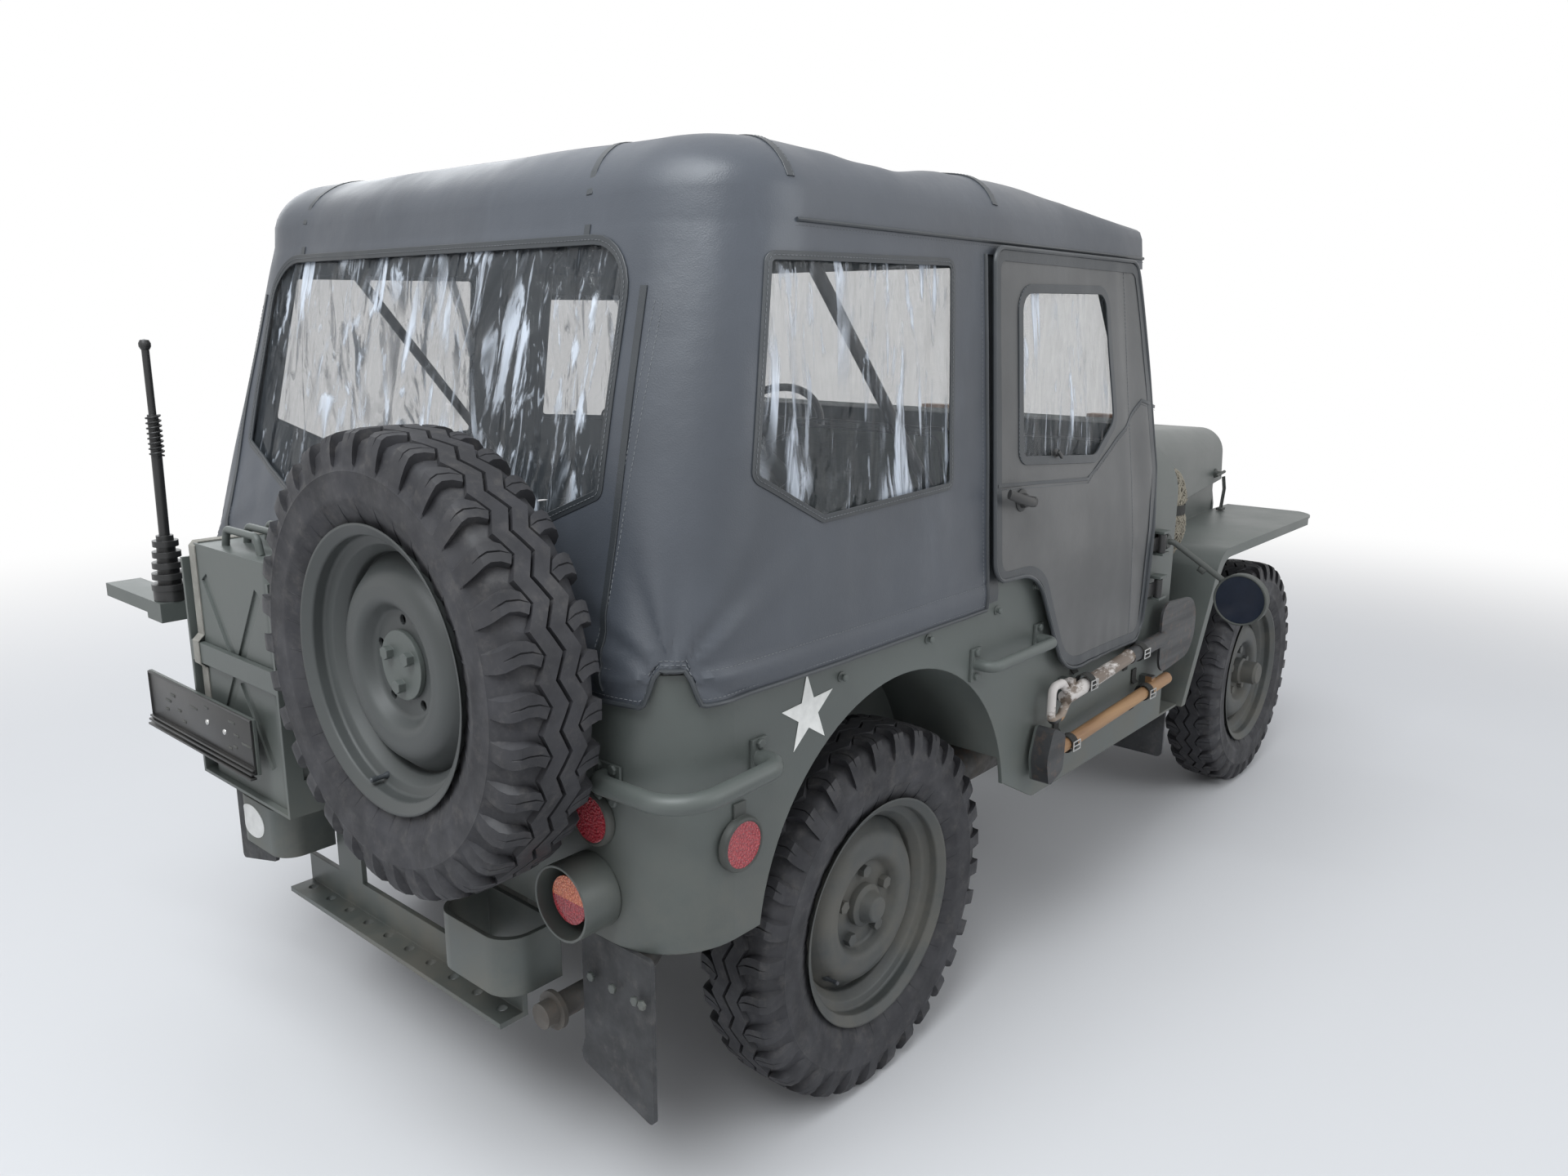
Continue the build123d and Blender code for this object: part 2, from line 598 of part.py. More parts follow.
with BuildPart() as tub_body:
    prism(Plane.XZ, tub_side_shape(), tub_half, both=True)
    prism(Plane.XY.offset(sill_bottom), tub_plan(0), cowl_top - sill_bottom, mode=Mode.INTERSECT)
    prism(Plane.YZ.offset(fx(tub_rear)), tub_cross(0), cowl_front - tub_rear, mode=Mode.INTERSECT)
with BuildPart() as tub_room:
    # the space inside the walls, above the floor and under it
    prism(Plane.XY.offset(sill_bottom - 1), tub_plan(tub_wall), cowl_top - tub_wall - sill_bottom + 1)
    prism(Plane.YZ.offset(fx(tub_rear)), tub_cross(tub_wall), cowl_front - tub_rear, mode=Mode.INTERSECT)
arch_axis_x = fx(arch_x)
with BuildPart() as tub:
    add(tub_body.part)
    add(tub_room.part, mode=Mode.SUBTRACT)
    # floor, a little inside the walls' outer faces
    prism(Plane.XY.offset(floor_top - floor_sheet), tub_plan(tub_wall / 2)[:2]
          + [(fx(cowl_front), -tub_half + tub_wall / 2, 0), (fx(cowl_front), tub_half - tub_wall / 2, 0)],
          floor_sheet)
    for side in (-1, 1):
        arch_plane = Plane.XZ.offset(-side * wheel_box_inner)
        outward = -side * (tub_half - wheel_box_inner)
        box_shape = [
            (arch_axis_x - arch_radius - tub_wall, floor_top - floor_sheet, 0),
            (arch_axis_x - arch_radius - tub_wall, arch_z + arch_radius + tub_wall, 200),
            (arch_axis_x + arch_radius + tub_wall, arch_z + arch_radius + tub_wall, 200),
            (arch_axis_x + arch_radius + tub_wall, floor_top - floor_sheet, 0),
        ]
        prism(arch_plane, box_shape, outward)
        with BuildSketch(Plane.XZ.offset(-side * (wheel_box_inner + tub_wall))) as arch:
            with Locations((arch_axis_x, arch_z)):
                Circle(arch_radius)
            with Locations((arch_axis_x, arch_z - arch_radius)):
                Rectangle(2 * arch_radius, 2 * arch_radius)
        extrude(arch.sketch, amount=outward * 1.2, mode=Mode.SUBTRACT)
    # under the floor the front wall is open between the sills, for the rails
    block(fx(cowl_front) - 60, fx(cowl_front) + 5, -rail_outer - 60, rail_outer + 60, sill_bottom - 2,
          floor_top - floor_sheet, mode=Mode.SUBTRACT)
    # body mounts between the floor and the rails
    for x in body_mount_places:
        for side in (-1, 1):
            block(fx(x) - 30, fx(x) + 30, side * rail_inner, side * rail_outer, rail_top + seat_gap,
                  floor_top - floor_sheet + 1)
    # hinge pins of the bonnet on the cowl's front edge, each between two ears
    for y in (-bonnet_hinge_y, bonnet_hinge_y):
        for end in (-1, 1):
            ear = y + end * (bonnet_hinge_half + 5)
            block(fx(cowl_front) - 30, fx(cowl_front), ear - 4, ear + 4, cowl_top - 4, bonnet_hinge_z + 8)
            block(fx(cowl_front) - 1, fx(bonnet_hinge_x) + 8, ear - 4, ear + 4, cowl_top + 4, bonnet_hinge_z + 8)
        rod((fx(bonnet_hinge_x), y - bonnet_hinge_half - 6, bonnet_hinge_z),
            (fx(bonnet_hinge_x), y + bonnet_hinge_half + 6, bonnet_hinge_z), hinge_pin_radius)
    # hinge pins of the doors on the cowl's sides, each between two ears
    for side in (-1, 1):
        for z in door_hinge_heights:
            for end in (-1, 1):
                ear = z + end * (door_hinge_half + 4)
                block(fx(door_hinge_x) - 8, fx(door_hinge_x) + 34,
                      side * (tub_half - 3), side * (door_hinge_y + 8), ear - 3, ear + 3)
            rod((fx(door_hinge_x), side * door_hinge_y, z - door_hinge_half - 5),
                (fx(door_hinge_x), side * door_hinge_y, z + door_hinge_half + 5), door_pin_radius)
write(tub, "tub")

# Front wings: flat tops with a turned edge, rounded front corners and a sloping rear leg
wing_outer = tub_half + 14
wing_inner = 455
wing_top = 850
wing_front = wheelbase + 306
wing_sheet = 6
wing_leg_top = 1470
wing_leg_foot = 1262
wing_lip = 26
apron_rear_y = 536
apron_front_y = 452
apron_bottom = 735
bonnet_edge_rear = 885
bonnet_edge_front = 950
with BuildPart() as wings:
    wing_path = [
        (fx(wing_front), wing_top - wing_lip, 0),
        (fx(wing_front), wing_top, 20),
        (fx(wing_leg_top), wing_top, 90),
        (fx(wing_leg_foot), sill_bottom, 0),
        (fx(wing_leg_foot) + wing_sheet, sill_bottom, 0),
        (fx(wing_leg_top) + wing_sheet, wing_top - wing_sheet, 90),
        (fx(wing_front) - wing_sheet, wing_top - wing_sheet, 16),
        (fx(wing_front) - wing_sheet, wing_top - wing_lip, 0),
    ]
    prism(Plane.XZ.offset(wing_inner - 10), wing_path, wing_outer - wing_inner + 10)
    # plan of the wing: the front outer corner is rounded, the inner edge follows the apron
    prism(Plane.XY.offset(sill_bottom - 1), [
        (fx(wing_front), -wing_inner, 0),
        (fx(wing_front), -wing_outer, 110),
        (fx(wing_leg_foot) - 50, -wing_outer, 0),
        (fx(wing_leg_foot) - 50, -apron_rear_y + wing_sheet / 2, 0),
        (fx(grille_x) - 1, -apron_front_y + wing_sheet / 2, 0),
        (fx(grille_x) - 1, -wing_inner, 0),
    ], wing_top - sill_bottom + 2, mode=Mode.INTERSECT)
    # apron: an upright sheet from the cowl to the grille, up into the bonnet
    with BuildPart() as apron:
        prism(Plane.XY.offset(apron_bottom), sharp([
            (fx(cowl_front) + seat_gap, -apron_rear_y),
            (fx(grille_x) - seat_gap, -apron_front_y),
            (fx(grille_x) - seat_gap, -apron_front_y + wing_sheet),
            (fx(cowl_front) + seat_gap, -apron_rear_y + wing_sheet),
        ]), 300)
        prism(Plane.XZ, sharp([
            (fx(cowl_front), apron_bottom - 1),
            (fx(grille_x), apron_bottom - 1),
            (fx(grille_x), bonnet_edge_front + 30),
            (fx(cowl_front), bonnet_edge_rear + 30),
        ]), wing_outer, mode=Mode.INTERSECT)
    add(apron.part)
    # turned outer edge along the flat top and the leg
    lip_shape = [
        (fx(wing_front) - 110, wing_top - wing_lip, 0),
        (fx(wing_front) - 110, wing_top - 1, 0),
        (fx(wing_leg_top), wing_top - 1, 90),
        (fx(wing_leg_foot) + 1, sill_bottom, 0),
        (fx(wing_leg_foot) + wing_lip, sill_bottom, 0),
        (fx(wing_leg_top) + wing_lip - 4, wing_top - wing_lip, 70),
    ]
    prism(Plane.XZ.offset(wing_outer - 5), lip_shape, 5)
    # foot plate back to the tub's front edge
    block(fx(cowl_front) + seat_gap, fx(wing_leg_foot) + 1, -tub_half, -apron_rear_y, sill_bottom,
          sill_bottom + wing_sheet)
    mirror(about=Plane.XZ)
write(wings, "front_wings")

# Grille panel with nine upright slots and two round lamp openings
grille_sheet = 12
grille_half = 448
grille_bottom = rail_top + seat_gap
grille_top = 1098
slot_count = 9
slot_pitch = 54
slot_width = 30
slot_low = 660
slot_high = 1010
headlamp_y = 335
headlamp_z = 905
headlamp_radius = 88
with BuildPart() as grille:
    prism(Plane.YZ.offset(fx(grille_x)), [
        (-wing_inner + seat_gap, grille_bottom, 20),
        (wing_inner - seat_gap, grille_bottom, 20),
        (wing_inner - seat_gap, wing_top + 20, 0),
        (grille_half, wing_top + 60, 0),
        (grille_half - 16, grille_top, 70),
        (-grille_half + 16, grille_top, 70),
        (-grille_half, wing_top + 60, 0),
        (-wing_inner + seat_gap, wing_top + 20, 0),
    ], grille_sheet)
    with BuildSketch(Plane.YZ.offset(fx(grille_x))):
        with Locations((0, (slot_low + slot_high) / 2)):
            with GridLocations(slot_pitch, 0, slot_count, 1):
                SlotOverall(slot_high - slot_low, slot_width, rotation=90)
        with Locations((-headlamp_y, headlamp_z), (headlamp_y, headlamp_z)):
            Circle(headlamp_radius + seat_gap)
    extrude(amount=grille_sheet, mode=Mode.SUBTRACT)
write(grille, "grille")

# Bonnet: a high pressed shell, open in front and at the rear, that tapers forwards and hinges at the cowl
bonnet_rear = cowl_front + moving_gap
bonnet_front = grille_x + 30
bonnet_rear_half = 560
bonnet_front_half = 474
bonnet_rear_top = 1166
bonnet_front_top = 1116
bonnet_low = 800
bonnet_side_lean = 14
bonnet_rear_bend = 95
bonnet_front_bend = 80
bonnet_sheet = 8
rest_block_x = bonnet_front - 566
rest_block_y = 300


def bonnet_section(x, inset):
    # front view of the shell at one place; columns: y, z, radius
    share = (x - bonnet_rear) / (bonnet_front - bonnet_rear)
    half = bonnet_rear_half + share * (bonnet_front_half - bonnet_rear_half) - inset
    top = bonnet_rear_top + share * (bonnet_front_top - bonnet_rear_top) - inset
    bend = bonnet_rear_bend + share * (bonnet_front_bend - bonnet_rear_bend) - inset
    return outline(Plane.YZ.offset(fx(x)), [
        (-half, bonnet_low, 0),
        (half, bonnet_low, 0),
        (half - bonnet_side_lean, top, bend),
        (-half + bonnet_side_lean, top, bend),
    ])


with BuildPart() as bonnet_outer:
    loft([bonnet_section(bonnet_rear, 0), bonnet_section(bonnet_front, 0)], ruled=True)
with BuildPart() as bonnet_inner:
    loft([bonnet_section(bonnet_rear - 20, bonnet_sheet), bonnet_section(bonnet_front + 20, bonnet_sheet)],
         ruled=True)
with BuildPart() as bonnet:
    add(bonnet_outer.part)
    add(bonnet_inner.part, mode=Mode.SUBTRACT)
    # the lower edge rises towards the front
    prism(Plane.XZ, sharp([
        (fx(bonnet_rear) - 5, bonnet_edge_rear),
        (fx(bonnet_front) + 5, bonnet_edge_front),
        (fx(bonnet_front) + 5, bonnet_low - 5),
        (fx(bonnet_rear) - 5, bonnet_low - 5),
    ]), bonnet_rear_half + 10, both=True, mode=Mode.SUBTRACT)
    for y in (-rest_block_y, rest_block_y):
        block(fx(rest_block_x), fx(rest_block_x) + 42, y - 60, y + 60, bonnet_front_top + 16, bonnet_front_top + 68)
    # hinge sleeves on straps behind the shell's rear edge
    for y in (-bonnet_hinge_y, bonnet_hinge_y):
        rod((fx(bonnet_hinge_x), y - bonnet_hinge_half, bonnet_hinge_z),
            (fx(bonnet_hinge_x), y + bonnet_hinge_half, bonnet_hinge_z), hinge_sleeve_radius)
        block(fx(bonnet_hinge_x), fx(bonnet_hinge_x) + 70, y - bonnet_hinge_half, y + bonnet_hinge_half,
              bonnet_rear_top - 6, bonnet_hinge_z - 6)
        rod((fx(bonnet_hinge_x), y - bonnet_hinge_half, bonnet_hinge_z),
            (fx(bonnet_hinge_x), y + bonnet_hinge_half, bonnet_hinge_z),
            hinge_pin_radius + running_clearance, mode=Mode.SUBTRACT)
write(bonnet, "bonnet")

# Windscreen: a one-piece raked frame on the cowl, with its glass
screen_base_x = 1078
screen_top_x = 872
screen_top_z = 1628
screen_half_base = tub_half - 59
screen_half_top = tub_half - 95
screen_bar = 45
screen_depth = 28
screen_glass = 6
screen_base_z = cowl_top + 6
screen_length = hypot(screen_top_x - screen_base_x, screen_top_z - screen_base_z)
screen_lean = (screen_base_x - screen_top_x) / screen_length
screen_rise = (screen_top_z - screen_base_z) / screen_length
screen_plane = Plane(origin=(fx(screen_base_x), 0, screen_base_z), x_dir=(0, 1, 0),
                     z_dir=(screen_rise, 0, screen_lean))


def screen_outline(inset, radius):
    return [
        (-screen_half_base + inset, inset, radius),
        (screen_half_base - inset, inset, radius),
        (screen_half_top - inset, screen_length - inset, radius),
        (-screen_half_top + inset, screen_length - inset, radius),
    ]


with BuildPart() as windscreen_frame:
    prism(screen_plane, screen_outline(0, 30), screen_depth / 2, both=True)
    prism(screen_plane, screen_outline(screen_bar, 25), screen_depth, both=True, mode=Mode.SUBTRACT)
write(windscreen_frame, "windscreen_frame")
with BuildPart() as glass:
    prism(screen_plane, screen_outline(screen_bar + seat_gap, 25 - seat_gap), screen_glass / 2, both=True)
    # head lamp glasses
    for y in (-headlamp_y, headlamp_y):
        rod((fx(grille_x) + grille_sheet + seat_gap, y, headlamp_z), (fx(bonnet_front) - 6, y, headlamp_z),
            headlamp_radius - 6)
write(glass, "glass")

# Soft top: one shell from the hem up to the roof bows and forwards to the windscreen
hem_z = 915
gutter_z = 1590
band_top = tub_top + 6
top_rear_low = -604
top_rear_high = -455
top_half_low = tub_half + 9
top_half_high = tub_half - 32
top_corner_low = 139
top_corner_high = 190
top_wall = 8
top_front = 906
header_z = 1652
rear_bow_x = -250
rear_bow_z = 1716
roof_sag_z = 1697
front_bow_x = 325
front_bow_z = 1738
roof_shoulder_z = 1702
door_post_x = 184


def top_plan(low, inset):
    # top view at the hem or at the gutter; columns: x, y, radius
    rear = fx(top_rear_low if low else top_rear_high) + inset
    half = (top_half_low if low else top_half_high) - inset
    corner = (top_corner_low if low else top_corner_high) - inset
    return [(rear, half, corner), (rear, -half, corner), (fx(top_front), -half, 0), (fx(top_front), half, 0)]


# Roof shoulders, round the sides and the rear
# Columns: height above the gutter, step in at the sides, step in at the rear
shoulder_rows = [(0, 0, 0), (50, 11, 17), (90, 41, 55), (116, 85, 105), (160, 230, 235)]


def shoulder_plan(height, side_step, rear_step, inset):
    # top view of one row of the roof shoulders; columns: x, y, radius
    rear = fx(top_rear_high) + rear_step + inset
    half = top_half_high - side_step - inset
    corner = top_corner_high - side_step / 2 - inset
    drop = inset if height else 0
    return outline(Plane.XY.offset(gutter_z + height - drop), [
        (rear, half, corner), (rear, -half, corner), (fx(top_front), -half, 0), (fx(top_front), half, 0)])


def top_form(inset):
    # walls lofted from hem to gutter, and a roof of lofted shoulders cut by its side and front views
    with BuildPart() as walls:
        prism(Plane.XY.offset(hem_z), top_plan(True, inset), band_top - hem_z)
        loft([outline(Plane.XY.offset(band_top), top_plan(True, inset)),
              outline(Plane.XY.offset(gutter_z), top_plan(False, inset))], ruled=True)
    with BuildPart() as roof:
        for low, high in zip(shoulder_rows, shoulder_rows[1:]):
            loft([shoulder_plan(*low, inset), shoulder_plan(*high, inset)], ruled=True)
        prism(Plane.XZ, [
            (fx(top_rear_high) - 5, gutter_z, 0),
            (fx(top_rear_high) - 5, rear_bow_z - inset, 0),
            (fx(rear_bow_x), rear_bow_z - inset, 300),
            (fx(20), roof_sag_z - inset, 1200),
            (fx(front_bow_x), front_bow_z - inset, 160),
            (fx(top_front), header_z - inset, 0),
            (fx(top_front), gutter_z, 0),
        ], top_half_low, both=True, mode=Mode.INTERSECT)
        # a slight crown across the car
        prism(Plane.YZ.offset(fx(top_rear_low)), [
            (-top_half_high, gutter_z, 0),
            (top_half_high, gutter_z, 0),
            (top_half_high, roof_shoulder_z - inset, 0),
            (0, front_bow_z + 6 - inset, 3000),
            (-top_half_high, roof_shoulder_z - inset, 0),
        ], top_front - top_rear_low, mode=Mode.INTERSECT)
    with BuildPart() as form:
        add(walls.part)
        add(roof.part)
    return form.part


# Windows of the soft top; columns: across or along, z, radius
rear_window = [(-430, 1062, 60), (430, 1062, 60), (430, 1562, 60), (-430, 1562, 60)]
quarter_window = [
    (fx(-380), 1523, 12),
    (fx(84), 1538, 12),
    (fx(104), 1162, 12),
    (fx(-260), 1146, 12),
    (fx(-414), 1219, 12),
]


def window_cut(clearance, mode):
    # through cuts for the rear window and both quarter windows
    with BuildSketch(Plane.YZ.offset(fx(top_rear_low) - 20)) as rear:
        add(outline(Plane.XY, rear_window))
        offset(amount=-clearance) if clearance else None
    with BuildSketch(Plane.XZ.offset(-top_half_low - 20)) as quarter:
        add(outline(Plane.XY, quarter_window))
        offset(amount=-clearance) if clearance else None
    with BuildPart() as cutters:
        extrude(rear.sketch, amount=260)
        extrude(quarter.sketch, amount=2 * top_half_low + 40)
    add(cutters.part, mode=mode)


outer_top = top_form(0)
inner_top = top_form(top_wall)
with BuildPart() as soft_top:
    add(outer_top)
    add(inner_top, mode=Mode.SUBTRACT)
    # open sides and front ahead of the door posts
    prism(Plane.XZ, sharp([
        (fx(door_post_x) + 42, hem_z - 5),
        (fx(door_post_x), gutter_z - 2),
        (fx(top_front) + 5, gutter_z - 2),
        (fx(top_front) + 5, hem_z - 5),
    ]), top_half_low + 5, both=True, mode=Mode.SUBTRACT)
    window_cut(0, Mode.SUBTRACT)
write(soft_top, "soft_top")

pane_outer = 3
pane_inner = 6
with BuildPart() as clear_windows:
    add(top_form(pane_outer))
    add(top_form(pane_inner), mode=Mode.SUBTRACT)
    window_cut(seat_gap, Mode.INTERSECT)
write(clear_windows, "clear_windows")

# Bows of the soft top: tubes with sockets on the tub walls
bow_radius = 11
bow_half = tub_half - 63
bow_bend_y = bow_half - 132
socket_low = tub_top - 80
socket_high = tub_top - 20
with BuildPart() as bows:
    # bow columns: foot x, top x, top z
    for foot_x, high_x, high_z in (
        (236, rear_bow_x, rear_bow_z - top_wall - bow_radius - 8),
        (262, front_bow_x, front_bow_z - top_wall - bow_radius - 10),
    ):
        shoulder = (fx(high_x), bow_half - 10, gutter_z - 10)
        bent_rod([
            (fx(foot_x), -bow_half - 18, socket_low + 25),
            (fx(foot_x), -bow_half - 16, tub_top + 40),
            (shoulder[0], -shoulder[1], shoulder[2]),
            (fx(high_x), -bow_bend_y, high_z - 26),
            (fx(high_x), 0, high_z),
            (fx(high_x), bow_bend_y, high_z - 26),
            shoulder,
            (fx(foot_x), bow_half + 16, tub_top + 40),
            (fx(foot_x), bow_half + 18, socket_low + 25),
        ], bow_radius, 24)
    for side in (-1, 1):
        block(fx(222), fx(276), side * (bow_half + 4), side * (tub_half - tub_wall - seat_gap),
              socket_low, socket_high)
write(bows, "top_bows")

# Seats: two front seats on tube legs and a rear bench between the wheel boxes
seat_width = 430
seat_y = 330
cushion_rear = 430
cushion_front = 880
cushion_low = 770
cushion_thick = 95
back_top = 1240
bench_half = 440
with BuildPart() as seats:
    for y in (-seat_y, seat_y):
        side_plane = Plane.XZ.offset(-y - seat_width / 2)
        prism(side_plane, [
            (fx(cushion_rear) + 36, cushion_low, 20),
            (fx(cushion_front), cushion_low + 20, 30),
            (fx(cushion_front), cushion_low + cushion_thick + 22, 40),
            (fx(cushion_rear) + 36, cushion_low + cushion_thick, 20),
        ], seat_width)
        prism(side_plane, [
            (fx(cushion_rear) + 58, cushion_low + 20, 20),
            (fx(cushion_rear) + 58 - 20, cushion_low + cushion_thick + 20, 20),
            (fx(cushion_rear) - 20, back_top, 40),
            (fx(cushion_rear) - 90, back_top - 20, 40),
            (fx(cushion_rear) - 25, cushion_low + 20, 20),
        ], seat_width)
        for x in (cushion_rear + 90, cushion_front - 50):
            for leg in (-1, 1):
                rod((fx(x), y + leg * (seat_width / 2 - 40), floor_top + seat_gap),
                    (fx(x), y + leg * (seat_width / 2 - 40), cushion_low + 20), 12)
    prism(Plane.XZ.offset(-bench_half), [
        (fx(-465), 770, 20), (fx(-80), 780, 30), (fx(-80), 870, 35), (fx(-465), 860, 20)], 2 * bench_half)
    prism(Plane.XZ.offset(-bench_half), [
        (fx(-440), 800, 20), (fx(-478), 1130, 35), (fx(-535), 1130, 25), (fx(-512), 800, 20)], 2 * bench_half)
    for x in (-430, -130):
        for y in (-380, 380):
            rod((fx(x), y, floor_top + seat_gap), (fx(x), y, 785), 12)
write(seats, "seats")

# Steering column and wheel on the left
column_angle = 38
column_y = 330
column_radius = 16
steering_x = 770
steering_z = 1105
steering_radius = 205
steering_rim = 11
column_back = (-cos(radians(column_angle)), 0, sin(radians(column_angle)))
column_foot_x = cowl_front - tub_wall - 34
column_length = (column_foot_x - steering_x) / cos(radians(column_angle))


def on_column(distance):
    # a point on the column's axis, measured from the steering wheel's centre towards the driver
    return (fx(steering_x) + column_back[0] * distance, column_y, steering_z + column_back[2] * distance)


with BuildPart() as steering_wheel:
    with Locations(Location(Plane(origin=on_column(0), x_dir=(0, 1, 0), z_dir=column_back))):
        Torus(steering_radius, steering_rim)
    rod(on_column(-30), on_column(24), 34)
    for angle in (90, 210, 330):
        hub_plane = Plane(origin=on_column(0), x_dir=(0, 1, 0), z_dir=column_back)
        end = hub_plane.from_local_coords(
            Vector(steering_radius * cos(radians(angle)), steering_radius * sin(radians(angle)), 0))
        rod(on_column(0), (end.X, end.Y, end.Z), 7)
    rod(on_column(-31), on_column(12.3), column_radius + running_clearance, mode=Mode.SUBTRACT)
write(steering_wheel, "steering_wheel")

# Dashboard inside the cowl with a round instrument cluster, the column through it, and the floor levers
dash_low = 935
dash_sheet = 8
cluster_radius = 85
with BuildPart() as dashboard:
    prism(Plane.YZ.offset(fx(cowl_rear) + 6), tub_cross(tub_wall + seat_gap), dash_sheet)
    block(fx(cowl_rear), fx(cowl_rear) + 20, -tub_half, tub_half, sill_bottom - 5, dash_low, mode=Mode.SUBTRACT)
    rod((fx(cowl_rear) + 7, 60, 1075), (fx(cowl_rear) - 6, 60, 1075), cluster_radius)
    rod(on_column(-column_length), on_column(-40), column_radius + 8)
    rod(on_column(-60), on_column(12), column_radius)
    # one gear lever and two transfer levers in a cover on the floor
    block(fx(840), fx(930), -95, 60, floor_top + seat_gap, floor_top + 16)
    # lever columns: x, y, lean, height
    for x, y, lean, height in ((900, 30, -90, 330), (880, -30, 20, 230), (880, -65, 20, 230)):
        rod((fx(x), y, floor_top + 10), (fx(x) + lean, y, floor_top + height), 8)
        with Locations((fx(x) + lean, y, floor_top + height)):
            Sphere(17)
write(dashboard, "dashboard")

# Soft doors: a flat frame that follows the tub's side and then leans in with the top
door_thickness = 14
door_inner_y = tub_half + moving_gap
door_low = 718
door_rear_low = 240
door_rear_high = 192
door_front = 1003
door_top = gutter_z - 2 - moving_gap - 2
door_corner_x = 848
door_bend_z = 980
pane_thickness = 4
lever_x = 320
lever_z = 1114
lever_length = 106
door_outline = [
    (fx(door_rear_high), door_top, 30),
    (fx(door_rear_low), 968, 40),
    (fx(400), 962, 110),
    (fx(540), door_low, 130),
    (fx(960), door_low, 50),
    (fx(985), 1040, 0),
    (fx(door_front), 1120, 60),
    (fx(door_corner_x), door_top, 30),
]
door_window = [
    (fx(290), 1500, 45),
    (fx(324), 1190, 25),
    (fx(640), 1165, 40),
    (fx(735), 1240, 40),
    (fx(660), 1505, 45),
]


def door_section(start, thickness):
    # front view of the door skin on the right side; columns: y, z, radius
    lean = (top_half_low - top_half_high) / (gutter_z - band_top)
    inner = -door_inner_y - start
    high = inner + lean * (door_top + 20 - door_bend_z)
    return [
        (inner, door_low - 10, 0),
        (inner, door_bend_z, 0),
        (high, door_top + 20, 0),
        (high - thickness, door_top + 20, 0),
        (inner - thickness, door_bend_z, 0),
        (inner - thickness, door_low - 10, 0),
    ]


door_span = door_front - door_rear_high + 40
door_side_plane = Plane.XZ.offset(tub_half - 80)
with BuildPart() as door_form:
    prism(Plane.YZ.offset(fx(door_rear_high) - 20), door_section(0, door_thickness), door_span)
    prism(door_side_plane, door_outline, 160, mode=Mode.INTERSECT)
    prism(door_side_plane, door_window, 160, mode=Mode.SUBTRACT)
    for z in door_hinge_heights:
        low = z - door_hinge_half
        high = z + door_hinge_half
        block(fx(door_hinge_x) - 120, fx(door_hinge_x), -door_hinge_y - 6, -door_hinge_y + 6, low, high)
        rod((fx(door_hinge_x), -door_hinge_y, low), (fx(door_hinge_x), -door_hinge_y, high), door_sleeve_radius)
        rod((fx(door_hinge_x), -door_hinge_y, low), (fx(door_hinge_x), -door_hinge_y, high),
            door_pin_radius + running_clearance, mode=Mode.SUBTRACT)
    # lever handle on a round boss
    rod((fx(lever_x), -door_inner_y - 2, lever_z), (fx(lever_x), -door_inner_y - 40, lever_z), 13)
    bent_rod([(fx(lever_x) + 6, -door_inner_y - 33, lever_z - 1),
              (fx(lever_x) - 40, -door_inner_y - 40, lever_z + 8),
              (fx(lever_x) - lever_length, -door_inner_y - 34, lever_z + 22)], 6, 30)
with BuildSketch(door_side_plane) as door_pane:
    add(outline(Plane.XY, door_window))
    offset(amount=-seat_gap)
with BuildPart() as pane_form:
    prism(Plane.YZ.offset(fx(door_rear_high) - 20), door_section(5, pane_thickness), door_span)
    extrude(door_pane.sketch, amount=160, mode=Mode.INTERSECT)
for name, form in (("soft_door", door_form), ("door_window", pane_form)):
    with BuildPart() as right_side:
        add(form.part)
    write(right_side, name + "_right")
    with BuildPart() as left_side:
        add(form.part)
        mirror(about=Plane.XZ)
        split(bisect_by=Plane.XZ, keep=Keep.BOTTOM)
    write(left_side, name + "_left")

# Petrol can and the carriers of can, spare wheel, number plate and aerial on the rear panel
can_near = 85
can_far = 420
can_front = -604
can_rear = -744
can_low = 580
can_high = 1035
rear_face = fx(tub_rear) - seat_gap
pressing_depth = 4
pressing_half_width = 13


def strip(start, end):
    # corners of a straight pressing between two points of a face
    length = hypot(end[0] - start[0], end[1] - start[1])
    u = (end[1] - start[1]) / length * pressing_half_width
    v = (start[0] - end[0]) / length * pressing_half_width
    return sharp([(start[0] - u, start[1] - v), (end[0] - u, end[1] - v), (end[0] + u, end[1] + v),
                  (start[0] + u, start[1] + v)])


with BuildPart() as petrol_can:
    prism(Plane.XY.offset(can_low), [
        (fx(can_front), can_near, 35), (fx(can_rear), can_near, 35),
        (fx(can_rear), can_far, 35), (fx(can_front), can_far, 35)], can_high - can_low)
    # crossed pressings on the rear face
    press_near = can_near + 60
    press_far = can_far - 60
    press_low = can_low + 70
    press_high = can_high - 60
    for low_y, high_y in ((press_near, press_far), (press_far, press_near)):
        prism(Plane.YZ.offset(fx(can_rear)), strip((low_y, press_low), (high_y, press_high)), pressing_depth,
              mode=Mode.SUBTRACT)
    # filler cap beside the handles
    rod(((fx(can_front) + fx(can_rear)) / 2, can_near + 56, can_high - 1),
        ((fx(can_front) + fx(can_rear)) / 2, can_near + 56, can_high + 24), 26)
    handle_y = (can_near + can_far) / 2
    for offset_x in (-40, 0, 40):
        x = (fx(can_front) + fx(can_rear)) / 2 + offset_x
        bent_rod([(x, handle_y - 70, can_high - 1), (x, handle_y - 60, can_high + 32),
                  (x, handle_y + 60, can_high + 32), (x, handle_y + 70, can_high - 1)], 7, 12)
write(petrol_can, "petrol_can")

